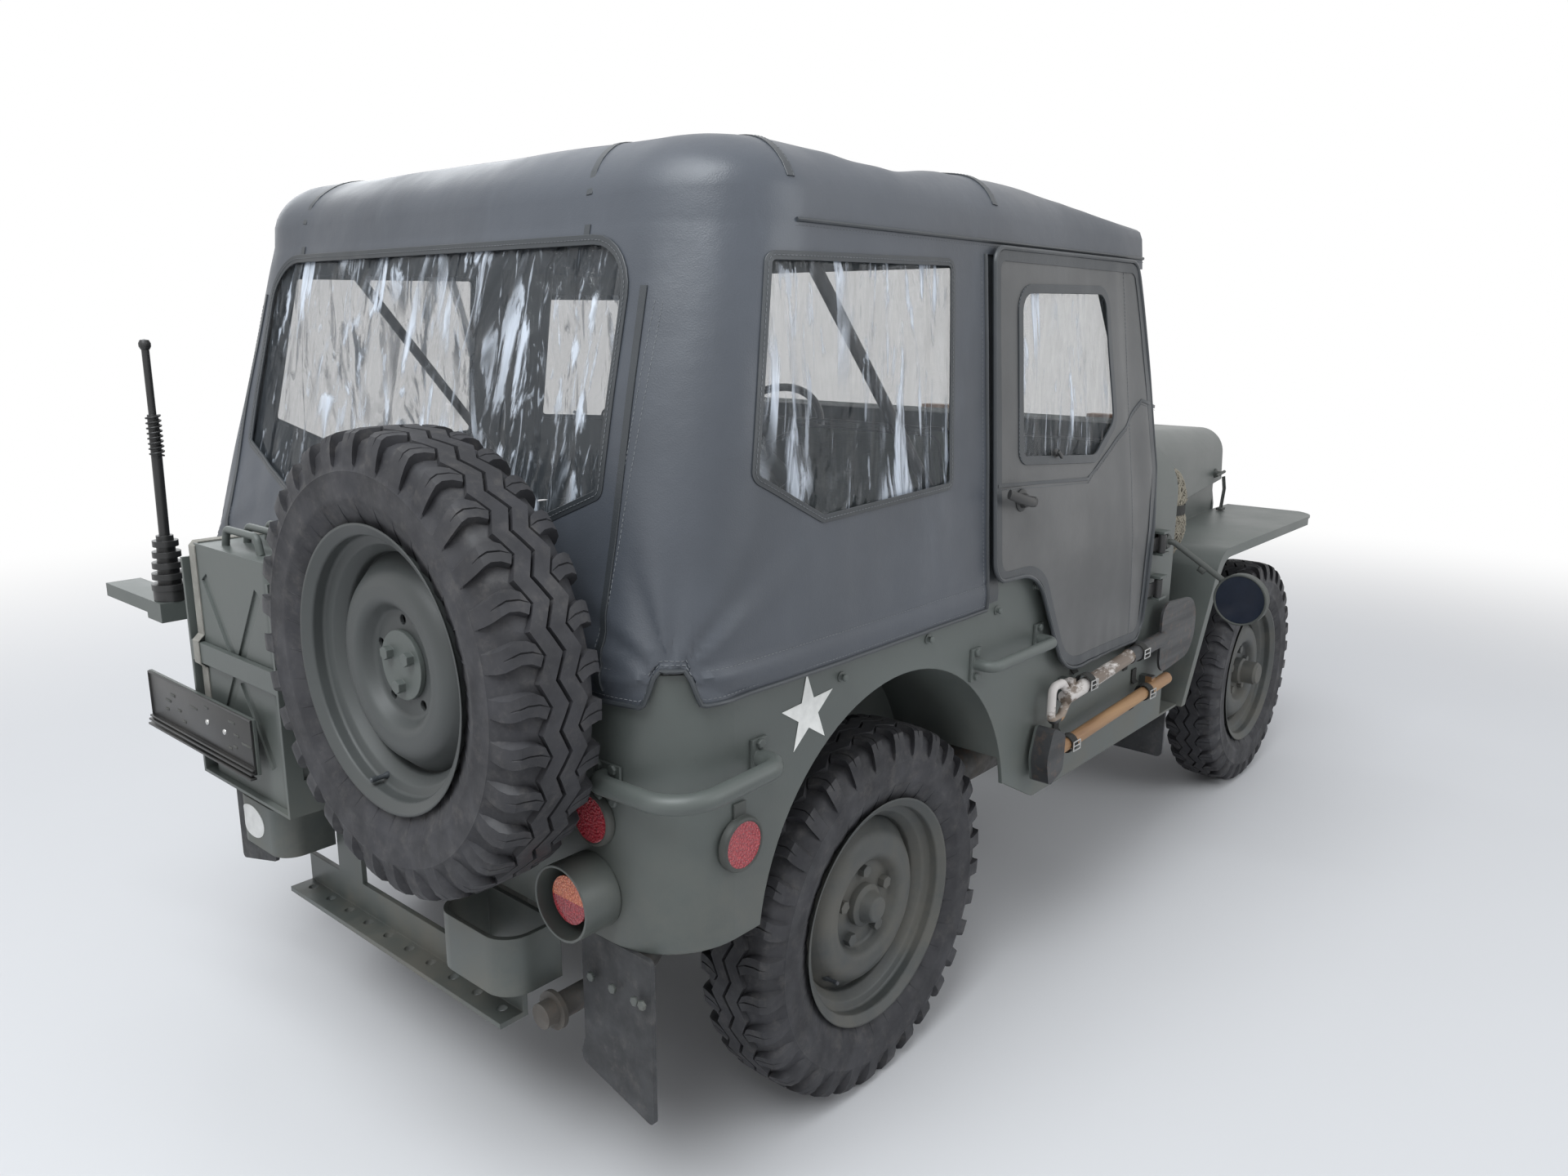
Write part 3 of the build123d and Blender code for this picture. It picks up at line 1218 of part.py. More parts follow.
plate_x = -768
plate_near = 160
plate_far = 620
plate_low = 640
plate_height = 105
clamp_radius = 54
aerial_x = -715
aerial_y = 600
aerial_z = 900
with BuildPart() as carriers:
    # can tray and its clamp frame
    block(fx(can_rear) - 12, rear_face, can_near - 8, can_far + 8, can_low - seat_gap - 6, can_low - seat_gap)
    for y in (can_near - 8, can_far + seat_gap):
        block(fx(can_rear) - 12, rear_face, y, y + 8 - seat_gap, can_low - 6, can_low + 60)
        block(fx(can_rear) - 12, fx(can_rear) + 20, y, y + 8 - seat_gap, can_low - 6, can_high - 30)
        block(fx(can_rear) - 12, fx(top_rear_low) - 2, y, y + 8 - seat_gap, can_high - 70, can_high - 30)
    block(fx(can_rear) - 12, fx(can_rear) - 1, can_near - 8, can_far + 8, can_high - 230, can_high - 190)
    # number plate and its holder
    block(fx(plate_x), fx(plate_x) + 6, plate_near, plate_far, plate_low, plate_low + plate_height)
    for y in (plate_near + 30, plate_far - 60):
        block(fx(plate_x) + 5, fx(can_rear) - 11, y, y + 30, plate_low + 20, plate_low + 50)
    block(fx(plate_x) + 5, rear_face, can_far + 30, can_far + 60, plate_low + 20, plate_low + 50)
    # spare wheel carrier: a pedestal with a plate against the wheel disc
    disc_face = fx(-spare_back - disc_hub_face + disc_sheet) + seat_gap
    plate_front = fx(top_rear_low) - 8
    rod((plate_front, spare_y, spare_z), (disc_face, spare_y, spare_z), 60)
    # stub through the wheel's hub hole, with a clamp plate and three nuts
    clamp_front = fx(-spare_back - disc_hub_face) - seat_gap
    rod((disc_face + 1, spare_y, spare_z), (clamp_front, spare_y, spare_z), hub_radius - 9)
    rod((clamp_front, spare_y, spare_z), (clamp_front - 8, spare_y, spare_z), clamp_radius)
    clamp_face = Plane(origin=(clamp_front - 7, spare_y, spare_z), x_dir=(0, 1, 0), z_dir=(-1, 0, 0))
    with BuildSketch(clamp_face) as nuts:
        with PolarLocations(clamp_radius - 22, 3, start_angle=90):
            RegularPolygon(11, 6)
    extrude(nuts.sketch, amount=13)
    block(plate_front - 16, plate_front, spare_y - 110, spare_y + 110, spare_z - 190, spare_z + 60)
    block(plate_front - 16, rear_face, spare_y - 110, spare_y + 110, spare_z - 190, hem_z - 10)
    # aerial bracket
    block(fx(aerial_x) - 35, rear_face, aerial_y - 30, aerial_y + 40, aerial_z - 12 - 40, aerial_z - 12)
    block(fx(aerial_x) - 35, fx(aerial_x) + 35, aerial_y - 30, aerial_y + 255, aerial_z - 12 - 28, aerial_z - 12)
write(carriers, "rear_carriers")

aerial_mast_top = 1261
aerial_top = 1400
with BuildPart() as aerial:
    rod((fx(aerial_x), aerial_y, aerial_z - 12 + seat_gap), (fx(aerial_x), aerial_y, aerial_z + 10), 32)
    for ring in range(5):
        z = aerial_z + 10 + ring * 22
        rod((fx(aerial_x), aerial_y, z), (fx(aerial_x), aerial_y, z + 12), 34 - 2.5 * ring)
        rod((fx(aerial_x), aerial_y, z + 11), (fx(aerial_x), aerial_y, z + 22), 22 - 1.5 * ring)
    rod((fx(aerial_x), aerial_y, aerial_z + 119), (fx(aerial_x), aerial_y - 12, aerial_mast_top), 10)
    rod((fx(aerial_x), aerial_y - 12, aerial_mast_top - 1), (fx(aerial_x), aerial_y - 14, aerial_top), 7)
write(aerial, "aerial")

# Lamps: rear guards as open cylinders with lamps inside, and head lamp bowls
lamp_y = 565
lamp_z = 603
lamp_radius = 60
guard_wall = 4
guard_rear = -662
lens_radius = 38
with BuildPart() as lamps:
    for side in (-1, 1):
        y = side * lamp_y
        rod((rear_face, y, lamp_z), (fx(guard_rear), y, lamp_z), lamp_radius)
        rod((rear_face - guard_wall, y, lamp_z), (fx(guard_rear) - 1, y, lamp_z), lamp_radius - guard_wall,
            mode=Mode.SUBTRACT)
        rod((rear_face - guard_wall + 1, y, lamp_z), (fx(guard_rear) + 34, y, lamp_z), lens_radius)
    for y in (-headlamp_y, headlamp_y):
        rod((fx(grille_x) - 70, y, headlamp_z), (fx(grille_x) + grille_sheet, y, headlamp_z), headlamp_radius)
write(lamps, "lamps")

reflector_radius = 38
side_reflector_x = -457
side_reflector_z = 682
rear_reflector_y = 572
rear_reflector_z = 722
with BuildPart() as lenses:
    for side in (-1, 1):
        y = side * lamp_y
        rod((fx(guard_rear) + 34 - seat_gap, y, lamp_z), (fx(guard_rear) + 16, y, lamp_z), lens_radius)
        rod((fx(side_reflector_x), side * (tub_half + seat_gap), side_reflector_z),
            (fx(side_reflector_x), side * (tub_half + 12), side_reflector_z), reflector_radius)
        rod((rear_face, side * rear_reflector_y, rear_reflector_z),
            (rear_face - 12, side * rear_reflector_y, rear_reflector_z), reflector_radius)
write(lenses, "lenses")

# Grab handles: one round each rear corner and one on each side by the door
handle_radius = 15
handle_z = 800
plate_sheet = 5
with BuildPart() as grab_handles:
    bent_rod([
        (rear_face, -604, handle_z - 6),
        (fx(tub_rear) - 26, -604, handle_z - 6),
        (fx(tub_rear) - 26, -tub_half - 48, handle_z - 2),
        (fx(-415), -tub_half - 48, handle_z + 6),
        (fx(-415), -tub_half - seat_gap, handle_z + 6),
    ], handle_radius, [15, 70, 26])
    bent_rod([
        (fx(205), -tub_half - seat_gap, 812),
        (fx(205), -tub_half - 42, 812),
        (fx(452), -tub_half - 42, 812),
        (fx(452), -tub_half - seat_gap, 812),
    ], handle_radius - 4, 20)
    # bolted foot plates
    block(rear_face - plate_sheet, rear_face, -604 - 30, -604 + 30, handle_z - 30, handle_z + 18)
    # foot plate columns: x, z
    for x, z in ((-415, handle_z + 6), (205, 812), (452, 812)):
        block(fx(x) - 17, fx(x) + 17, -tub_half - seat_gap - plate_sheet, -tub_half - seat_gap, z - 32, z + 32)
    mirror(about=Plane.XZ)
write(grab_handles, "grab_handles")

# Mud flaps: shaped rubber behind the rear wheels and plain ones behind the front wheels
flap_near = 528
flap_far = 686
flap_low = 262
flap_sheet = 8
with BuildPart() as mud_flaps:
    prism(Plane.YZ.offset(fx(tub_rear)), [
        (-flap_near, tub_rear_bottom - seat_gap, 10),
        (-flap_near, 330, 30),
        (-flap_near + 10, 300, 0),
        (-flap_near + 6, 285, 8),
        (-flap_far, flap_low - 20, 10),
        (-flap_far, tub_rear_bottom - seat_gap, 10),
    ], flap_sheet)
    prism(Plane.YZ.offset(fx(cowl_front) + 40), [
        (-tub_half, sill_bottom - seat_gap, 0),
        (-tub_half, 330, 15),
        (-560, 330, 15),
        (-560, sill_bottom - seat_gap, 0),
    ], flap_sheet)
    mirror(about=Plane.XZ)
write(mud_flaps, "mud_flaps")

# Tools strapped to the right side: a shovel and an axe
tool_y = -tub_half - 32
shovel_radius = 16
with BuildPart() as tools:
    grip_x = fx(474)
    grip_z = 668
    shovel_z = 690
    # a grip shaped like a letter D on the end of the shaft
    bent_rod([(grip_x + 74, tool_y, grip_z - 6), (grip_x + 44, tool_y, grip_z - 38),
              (grip_x, tool_y, grip_z - 38), (grip_x, tool_y, grip_z + 38),
              (grip_x + 44, tool_y, grip_z + 38), (grip_x + 74, tool_y, grip_z + 6)], 9, 16)
    rod((grip_x + 60, tool_y, grip_z), (fx(856), tool_y, shovel_z), shovel_radius)
    rod((fx(850), tool_y, shovel_z - 0.3), (fx(1045), tool_y, shovel_z + 4), shovel_radius + 2)
    prism(Plane.XZ.offset(-tool_y - 3), [
        (fx(1030), shovel_z - 88, 40), (fx(1250), shovel_z - 70, 70), (fx(1250), shovel_z + 78, 70),
        (fx(1030), shovel_z + 96, 40)], 6)
    rod((fx(1093), tool_y, 581), (fx(470), tool_y, 556), 15)
    prism(Plane.XZ.offset(-tool_y - 22), [
        (fx(440), 500, 12), (fx(500), 520, 20), (fx(505), 600, 20), (fx(450), 628, 12), (fx(425), 560, 60)], 44)
    # brackets that hold both on the tub's side
    for x, low, high in ((1000, 556, 604), (470, 540, 580), (560, 650, 700), (900, 668, 712)):
        block(fx(x), fx(x) + 22, -tub_half - seat_gap, tool_y, low, high)
write(tools, "side_tools")

# Rear view mirrors on bent arms
mirror_x = 1100
mirror_y = 930
mirror_z = 810
mirror_radius = 62
with BuildPart() as mirrors:
    bent_rod([
        (fx(1045), -tub_half - seat_gap, 936),
        (fx(1045), -tub_half - 40, 936),
        (fx(mirror_x) + 4, -mirror_y + 20, mirror_z + 20),
        (fx(mirror_x) + 4, -mirror_y, mirror_z),
    ], 7, 12)
    rod((fx(mirror_x) - 14, -mirror_y, mirror_z), (fx(mirror_x) + 8, -mirror_y, mirror_z), mirror_radius)
    mirror(about=Plane.XZ)
write(mirrors, "mirrors")

# Camouflage net in a bundle, strapped to the cowl beside the bonnet on the right
net_low = 886
net_height = 194
net_front = 1290
net_inner = -bonnet_rear_half - 44
net_outer = -tub_half + 13
with BuildPart() as net:
    prism(Plane.XY.offset(net_low), [
        (fx(cowl_front) + seat_gap, net_inner, 30), (fx(net_front), net_inner, 45),
        (fx(net_front), net_outer, 45), (fx(cowl_front) + seat_gap, net_outer, 30)], net_height)
write(net, "net_roll")
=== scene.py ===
import bpy
import bmesh
import json
import math
from mathutils import Matrix, Vector, noise

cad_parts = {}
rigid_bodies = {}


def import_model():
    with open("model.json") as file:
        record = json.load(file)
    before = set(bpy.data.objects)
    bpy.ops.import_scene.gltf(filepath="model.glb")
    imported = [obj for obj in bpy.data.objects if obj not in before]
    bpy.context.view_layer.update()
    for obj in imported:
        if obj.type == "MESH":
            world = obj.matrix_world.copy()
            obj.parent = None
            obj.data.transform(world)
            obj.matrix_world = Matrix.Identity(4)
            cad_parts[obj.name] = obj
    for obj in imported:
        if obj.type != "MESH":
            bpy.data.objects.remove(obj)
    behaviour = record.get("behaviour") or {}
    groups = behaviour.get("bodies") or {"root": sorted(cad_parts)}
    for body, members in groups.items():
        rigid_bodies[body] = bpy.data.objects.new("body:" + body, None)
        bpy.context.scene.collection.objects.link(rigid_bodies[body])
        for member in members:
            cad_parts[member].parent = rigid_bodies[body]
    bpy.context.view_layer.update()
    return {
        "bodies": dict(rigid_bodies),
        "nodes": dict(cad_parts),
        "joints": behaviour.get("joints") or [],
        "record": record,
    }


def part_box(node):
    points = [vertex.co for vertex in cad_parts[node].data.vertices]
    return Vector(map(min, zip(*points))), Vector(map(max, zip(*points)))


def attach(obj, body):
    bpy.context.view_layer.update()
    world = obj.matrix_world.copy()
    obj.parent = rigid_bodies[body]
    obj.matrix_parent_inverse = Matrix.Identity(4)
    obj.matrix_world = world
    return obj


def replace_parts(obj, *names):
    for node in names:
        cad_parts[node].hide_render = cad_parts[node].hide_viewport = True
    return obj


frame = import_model()
nodes = frame["nodes"]
scene = bpy.context.scene

# Places along the car are counted from the rear axle, as on the drawing, and turned into the frame's X;
# rearAxleX is that axle in the frame, in metres, and the others are in millimetres
layout = {"rearAxleX": -0.8835, "wheelbase": 2032, "trackHalf": 613, "axleZ": 357}


def fromAxle(distance):
    return layout["rearAxleX"] + distance


# Camera at the photo's viewing angle
print("stage: camera")
cameraSet = {"place": (-2.4901, -1.8033, 1.4404), "yaw": 40.5, "pitch": -13.1, "roll": 0.4,
             "focalPixels": 1383.7, "imageWidth": 1920, "sensor": 36.0}


def makeCamera():
    data = bpy.data.cameras.new("viewCamera")
    data.sensor_width = cameraSet["sensor"]
    data.lens = cameraSet["focalPixels"] / cameraSet["imageWidth"] * cameraSet["sensor"]
    yaw = math.radians(cameraSet["yaw"])
    pitch = math.radians(cameraSet["pitch"])
    roll = math.radians(cameraSet["roll"])
    ahead = Vector((math.cos(pitch) * math.cos(yaw), math.cos(pitch) * math.sin(yaw), math.sin(pitch)))
    right = ahead.cross(Vector((0, 0, 1))).normalized()
    up = right.cross(ahead)
    turnedRight = right * math.cos(roll) + up * math.sin(roll)
    turnedUp = up * math.cos(roll) - right * math.sin(roll)
    turn = Matrix((turnedRight, turnedUp, -ahead)).transposed()
    camera = bpy.data.objects.new("viewCamera", data)
    camera.matrix_world = Matrix.Translation(cameraSet["place"]) @ turn.to_4x4()
    scene.collection.objects.link(camera)
    scene.camera = camera


makeCamera()

# Node trees of materials, of Geometry Nodes and of the world
print("stage: materials")


class NodeTree:
    # add() makes a node, and an input may be a number, a colour or another node's output
    def __init__(self, tree):
        self.tree = tree

    def add(self, kind, inputs=None, **settings):
        node = self.tree.nodes.new(kind)
        for key, value in settings.items():
            setattr(node, key, value)
        for key, value in (inputs or {}).items():
            self.feed(node.inputs[key], value)
        return node

    def feed(self, socket, value):
        if isinstance(value, bpy.types.NodeSocket):
            self.tree.links.new(value, socket)
        else:
            socket.default_value = value

    def maths(self, operation, first, second):
        return self.add("ShaderNodeMath", {0: first, 1: second}, operation=operation).outputs[0]

    def within(self, value, low, high):
        above = self.maths("GREATER_THAN", value, low)
        return self.maths("MULTIPLY", above, self.maths("LESS_THAN", value, high))

    def viewed(self):
        # 1 for what the camera sees straight, through glass or in a reflection
        rays = self.add("ShaderNodeLightPath").outputs
        seen = self.maths("MAXIMUM", rays["Is Camera Ray"], rays["Is Transmission Ray"])
        return self.maths("MAXIMUM", seen, rays["Is Glossy Ray"])


class Shade(NodeTree):
    # one material's tree
    def __init__(self, name):
        self.material = bpy.data.materials.new(name)
        self.material.use_nodes = True
        super().__init__(self.material.node_tree)
        self.surface = self.tree.nodes["Principled BSDF"]
        self.place = self.add("ShaderNodeTexCoord").outputs["Object"]

    def noise(self, scale, detail=4.0, roughness=0.55, stretch=(1, 1, 1), distortion=0.0):
        place = self.add("ShaderNodeMapping", {"Vector": self.place, "Scale": stretch}).outputs[0]
        node = self.add("ShaderNodeTexNoise", {"Vector": place, "Scale": scale, "Detail": detail,
                                               "Roughness": roughness, "Distortion": distortion})
        return node.outputs["Fac"]

    def ramp(self, value, low, high, to=(0.0, 1.0)):
        inputs = {"Value": value, "From Min": low, "From Max": high, "To Min": to[0], "To Max": to[1]}
        return self.add("ShaderNodeMapRange", inputs, interpolation_type="SMOOTHSTEP").outputs["Result"]

    def axis(self, letter):
        return self.add("ShaderNodeSeparateXYZ", {"Vector": self.place}).outputs[letter]

    def mix(self, share, first, second):
        node = self.tree.nodes.new("ShaderNodeMix")
        node.data_type = "RGBA"
        self.feed(node.inputs[0], share)
        self.feed(node.inputs[6], first if isinstance(first, bpy.types.NodeSocket) else (*first, 1))
        self.feed(node.inputs[7], second if isinstance(second, bpy.types.NodeSocket) else (*second, 1))
        return node.outputs[2]

    def bump(self, height, depth, strength=1.0, normal=None):
        inputs = {"Height": height, "Distance": depth, "Strength": strength}
        if normal is not None:
            inputs["Normal"] = normal
        return self.add("ShaderNodeBump", inputs).outputs["Normal"]

    def finish(self, colour, roughness, normal=None, **fixed):
        surface = self.surface.inputs
        self.feed(surface["Base Color"], colour if isinstance(colour, bpy.types.NodeSocket) else (*colour, 1))
        self.feed(surface["Roughness"], roughness)
        if normal is not None:
            self.feed(surface["Normal"], normal)
        for key, value in fixed.items():
            surface[key.replace("_", " ")].default_value = value
        return self.material


def scaled(colour, factor):
    # a lighter or darker colour
    return tuple(min(1, part * factor) for part in colour)


# what weather leaves on the finishes; dust grows from dustTop down to dustFull, in metres above the floor
weather = {"dust": (0.21, 0.19, 0.155), "chip": (0.28, 0.28, 0.27), "rust": (0.16, 0.075, 0.035),
           "mud": (0.15, 0.13, 0.11), "tyreDust": (0.14, 0.13, 0.12), "dustTop": 0.85, "dustFull": 0.25}


def paintMaterial(name, colour, wear=0.35, dust=0.5, gloss=0.42, rounding=0.0025, patch=None):
    # old matt lacquer: cloudy colour, dust below, chips at worn places, soft edges on pressed sheet;
    # patch(shade, colour) may lay another colour over a place
    shade = Shade(name)
    clouds = shade.noise(2.2, 5, 0.6)
    base = shade.mix(shade.ramp(clouds, 0.3, 0.7), scaled(colour, 0.86), scaled(colour, 1.16))
    blotches = shade.ramp(shade.noise(26, 6, 0.7), 0.62, 0.74, (0, 0.25))
    base = shade.mix(blotches, base, scaled(colour, 0.6))
    low = shade.ramp(shade.axis("Z"), weather["dustTop"], weather["dustFull"])
    dusty = shade.maths("MULTIPLY", shade.ramp(shade.noise(7, 6, 0.65), 0.35, 0.7), low)
    base = shade.mix(shade.maths("MULTIPLY", dusty, dust), base, weather["dust"])
    chips = shade.ramp(shade.noise(60, 8, 0.72), 0.70, 0.735, (0, wear))
    base = shade.mix(chips, base, weather["chip"])
    if patch:
        base = patch(shade, base)
    edges = shade.add("ShaderNodeBevel", {"Radius": rounding}, samples=4).outputs[0]
    normal = shade.bump(shade.noise(420, 2, 0.5), 0.00025, 0.5, edges)
    normal = shade.bump(shade.noise(9, 2, 0.5), 0.0022, 0.35, normal)
    roughness = shade.ramp(clouds, 0.3, 0.7, (gloss - 0.06, gloss + 0.12))
    roughness = shade.maths("ADD", roughness, shade.maths("MULTIPLY", dusty, 0.3))
    return shade.finish(base, roughness, normal)


# the two wooden blocks on the bonnet that the folded windscreen rests on: their back and front edges ahead of
# the rear axle and their foot, in metres
restBlocks = {"back": 1.63, "front": 1.69, "foot": 1.149}


def restBlockWood(shade, base):
    grain = shade.noise(24, 7, 0.65, (1, 0.1, 1), 0.3)
    wood = shade.mix(shade.ramp(grain, 0.3, 0.7), (0.13, 0.06, 0.035), (0.34, 0.20, 0.13))
    inside = shade.within(shade.axis("X"), fromAxle(restBlocks["back"]), fromAxle(restBlocks["front"]))
    above = shade.maths("GREATER_THAN", shade.axis("Z"), restBlocks["foot"])
    return shade.mix(shade.maths("MULTIPLY", inside, above), base, wood)


def ironMaterial(name, colour):
    shade = Shade(name)
    rusty = shade.ramp(shade.noise(16, 7, 0.7), 0.48, 0.66, (0, 0.4))
    base = shade.mix(rusty, colour, weather["rust"])
    base = shade.mix(shade.ramp(shade.noise(5, 4), 0.4, 0.75, (0, 0.5)), base, weather["mud"])
    normal = shade.bump(shade.noise(140, 5, 0.6), 0.0006, 0.7)
    roughness = shade.ramp(shade.noise(30, 4), 0.3, 0.7, (0.5, 0.8))
    return shade.finish(base, roughness, normal, Metallic=0.35)


def rubberMaterial(name, colour, dust):
    shade = Shade(name)
    base = shade.mix(shade.ramp(shade.noise(9, 6, 0.65), 0.35, 0.7), colour, scaled(colour, 1.7))
    base = shade.mix(shade.ramp(shade.noise(34, 6, 0.7), 0.48, 0.8, (0, dust)), base, weather["tyreDust"])
    normal = shade.bump(shade.noise(320, 3, 0.6), 0.0004, 0.5)
    return shade.finish(base, shade.ramp(shade.noise(22, 4), 0.3, 0.7, (0.55, 0.82)), normal)


def vinylMaterial(name, colour, gloss):
    # coated cloth with a fine pressed grain, and lighter upright streaks that are partly rubbed wear and partly
    # a painted sheen of reflected sky
    shade = Shade(name)
    base = shade.mix(shade.ramp(shade.noise(1.6, 5, 0.6), 0.3, 0.7), scaled(colour, 0.85), scaled(colour, 1.2))
    # painted sheen: the lighter upright streaks are partly wear and partly a painted reflection of the sky
    streaksAndSheen = shade.ramp(shade.noise(6, 6, 0.7, (1, 1, 0.25)), 0.55, 0.8, (0, 0.35))
    base = shade.mix(streaksAndSheen, base, scaled(colour, 1.9))
    cells = shade.add("ShaderNodeTexVoronoi", {"Vector": shade.place, "Scale": 480.0}, feature="SMOOTH_F1")
    normal = shade.bump(cells.outputs["Distance"], 0.0004, 0.4)
    normal = shade.bump(shade.noise(11, 3, 0.5), 0.005, 0.35, normal)
    roughness = shade.ramp(shade.noise(4, 5), 0.3, 0.7, (gloss - 0.05, gloss + 0.12))
    return shade.finish(base, roughness, normal)


def plainMaterial(name, colour, roughness, metallic=0.0, grain=60.0, depth=0.0003):
    shade = Shade(name)
    base = shade.mix(shade.ramp(shade.noise(12, 5, 0.6), 0.3, 0.7), scaled(colour, 0.8), scaled(colour, 1.15))
    normal = shade.bump(shade.noise(grain, 4, 0.6), depth, 0.6)
    rough = shade.ramp(shade.noise(18, 4), 0.3, 0.7, (max(0.05, roughness - 0.07), min(1, roughness + 0.1)))
    return shade.finish(base, rough, normal, Metallic=metallic)


def clothMaterial(name, colour, weave=900.0):
    shade = Shade(name)
    base = shade.mix(shade.ramp(shade.noise(8, 6, 0.65), 0.3, 0.7), scaled(colour, 0.75), scaled(colour, 1.3))
    across, along = [shade.add("ShaderNodeTexWave", {"Vector": shade.place, "Scale": weave / 6.283},
                               bands_direction=way).outputs["Fac"] for way in ("X", "Z")]
    normal = shade.bump(shade.maths("ADD", across, along), 0.0006, 0.6)
    normal = shade.bump(shade.noise(14, 4, 0.6), 0.004, 0.4, normal)
    return shade.finish(base, 0.85, normal)


def clearVinylMaterial():
    # old wavy window film: smoky where clear, with a painted pale reflection of the sky in upright streaks that
    # flow round its slack places
    shade = Shade("clearVinyl")
    ripples = shade.noise(5, 3, 0.5, (1, 1, 0.35), 1.6)
    streaksAndSheen = shade.noise(11, 5, 0.6, (1, 1, 0.2), 2.6)
    normal = shade.bump(ripples, 0.06, 0.9)
    normal = shade.bump(streaksAndSheen, 0.012, 0.6, normal)
    # painted reflection: the pale bluish bands and thin lines stand for sky reflected in the film, and the film
    # is less clear where they lie
    reflectionBands = shade.maths("MULTIPLY", shade.ramp(streaksAndSheen, 0.50, 0.60), shade.ramp(ripples, 0.42, 0.62))
    lines = shade.ramp(shade.noise(34, 4, 0.6, (1, 1, 0.14), 1.5), 0.60, 0.66, (0, 0.55))
    pale = shade.maths("MAXIMUM", reflectionBands, lines)
    material = shade.finish(shade.mix(pale, (0.12, 0.135, 0.15), (0.76, 0.83, 0.93)), 0.06, normal)
    shade.feed(shade.surface.inputs["Alpha"], shade.maths("ADD", shade.maths("MULTIPLY", pale, 0.5), 0.2))
    shade.surface.inputs["Specular IOR Level"].default_value = 0.9
    return material


def glassMaterial(name, tint, alpha):
    shade = Shade(name)
    normal = shade.bump(shade.noise(3, 2, 0.5), 0.002, 0.3)
    return shade.finish(tint, 0.03, normal, Alpha=alpha)


# where the finish of the tools changes, in metres: the height between them, the axe head's end, the blade's
# start and its lower corner ahead of the rear axle, and the plane that the clips lie behind
toolPlaces = {"between": 0.632, "axeHead": 0.507, "blade": 0.85, "cornerFrom": 1.0, "cornerAbove": 0.599,
              "clips": -0.7505}


def toolsMaterial():
    # the shovel's worn grey wood, the axe's honey wood, black iron and green clips
    shade = Shade("toolsFinish")
    grain = shade.noise(28, 8, 0.65, (0.06, 1, 1), 0.4)
    honey = shade.mix(shade.ramp(grain, 0.3, 0.72), (0.20, 0.10, 0.045), (0.40, 0.24, 0.12))
    greyWood = shade.mix(shade.ramp(grain, 0.3, 0.72), (0.13, 0.10, 0.08), (0.30, 0.24, 0.19))
    flakes = shade.ramp(shade.noise(14, 8, 0.72, (0.45, 1, 1)), 0.42, 0.50)
    worn = shade.mix(flakes, greyWood, (0.62, 0.58, 0.55))
    rust = shade.ramp(shade.noise(40, 7, 0.7), 0.5, 0.68, (0, 0.5))
    iron = shade.mix(rust, (0.030, 0.031, 0.033), (0.11, 0.07, 0.05))
    along, up = shade.axis("X"), shade.axis("Z")
    low = shade.maths("LESS_THAN", up, toolPlaces["between"])
    axeHead = shade.maths("MULTIPLY", low, shade.maths("LESS_THAN", along, fromAxle(toolPlaces["axeHead"])))
    blade = shade.maths("MULTIPLY", shade.maths("SUBTRACT", 1.0, low),
                        shade.maths("GREATER_THAN", along, fromAxle(toolPlaces["blade"])))
    corner = shade.maths("MULTIPLY", shade.maths("GREATER_THAN", up, toolPlaces["cornerAbove"]),
                         shade.maths("GREATER_THAN", along, fromAxle(toolPlaces["cornerFrom"])))
    metal = shade.maths("MAXIMUM", axeHead, shade.maths("MAXIMUM", blade, corner))
    base = shade.mix(metal, shade.mix(low, worn, honey), iron)
    clip = shade.maths("GREATER_THAN", shade.axis("Y"), toolPlaces["clips"])
    base = shade.mix(clip, base, (0.075, 0.085, 0.08))
    return shade.finish(base, shade.ramp(grain, 0.3, 0.7, (0.4, 0.65)), shade.bump(grain, 0.0010, 0.5))


# the orange part of the tail lamps: its height range and its front end ahead of the rear axle, in metres
lensPlaces = {"orange": (0.603, 0.65), "rear": -0.56}


def lampLensMaterial():
    # orange over red in the tail lamps, red in the reflectors, with a painted glint in the middle of each facet
    shade = Shade("lampLens")
    cells = shade.add("ShaderNodeTexVoronoi", {"Vector": shade.place, "Scale": 260.0}, feature="F1")
    cells = cells.outputs["Distance"]
    orange = shade.maths("MULTIPLY", shade.within(shade.axis("Z"), *lensPlaces["orange"]),
                         shade.maths("LESS_THAN", shade.axis("X"), fromAxle(lensPlaces["rear"])))
    base = shade.mix(orange, (0.33, 0.015, 0.03), (0.62, 0.13, 0.05))
    # painted glint: a lighter colour in the middle of each facet stands for light caught by the moulded prisms
    facetGlint = shade.mix(orange, (0.62, 0.06, 0.07), (0.95, 0.36, 0.18))
    base = shade.mix(shade.ramp(cells, 0.05, 0.6), facetGlint, base)
    return shade.finish(base, 0.14, shade.bump(cells, 0.003, 0.8), Coat_Weight=0.6)


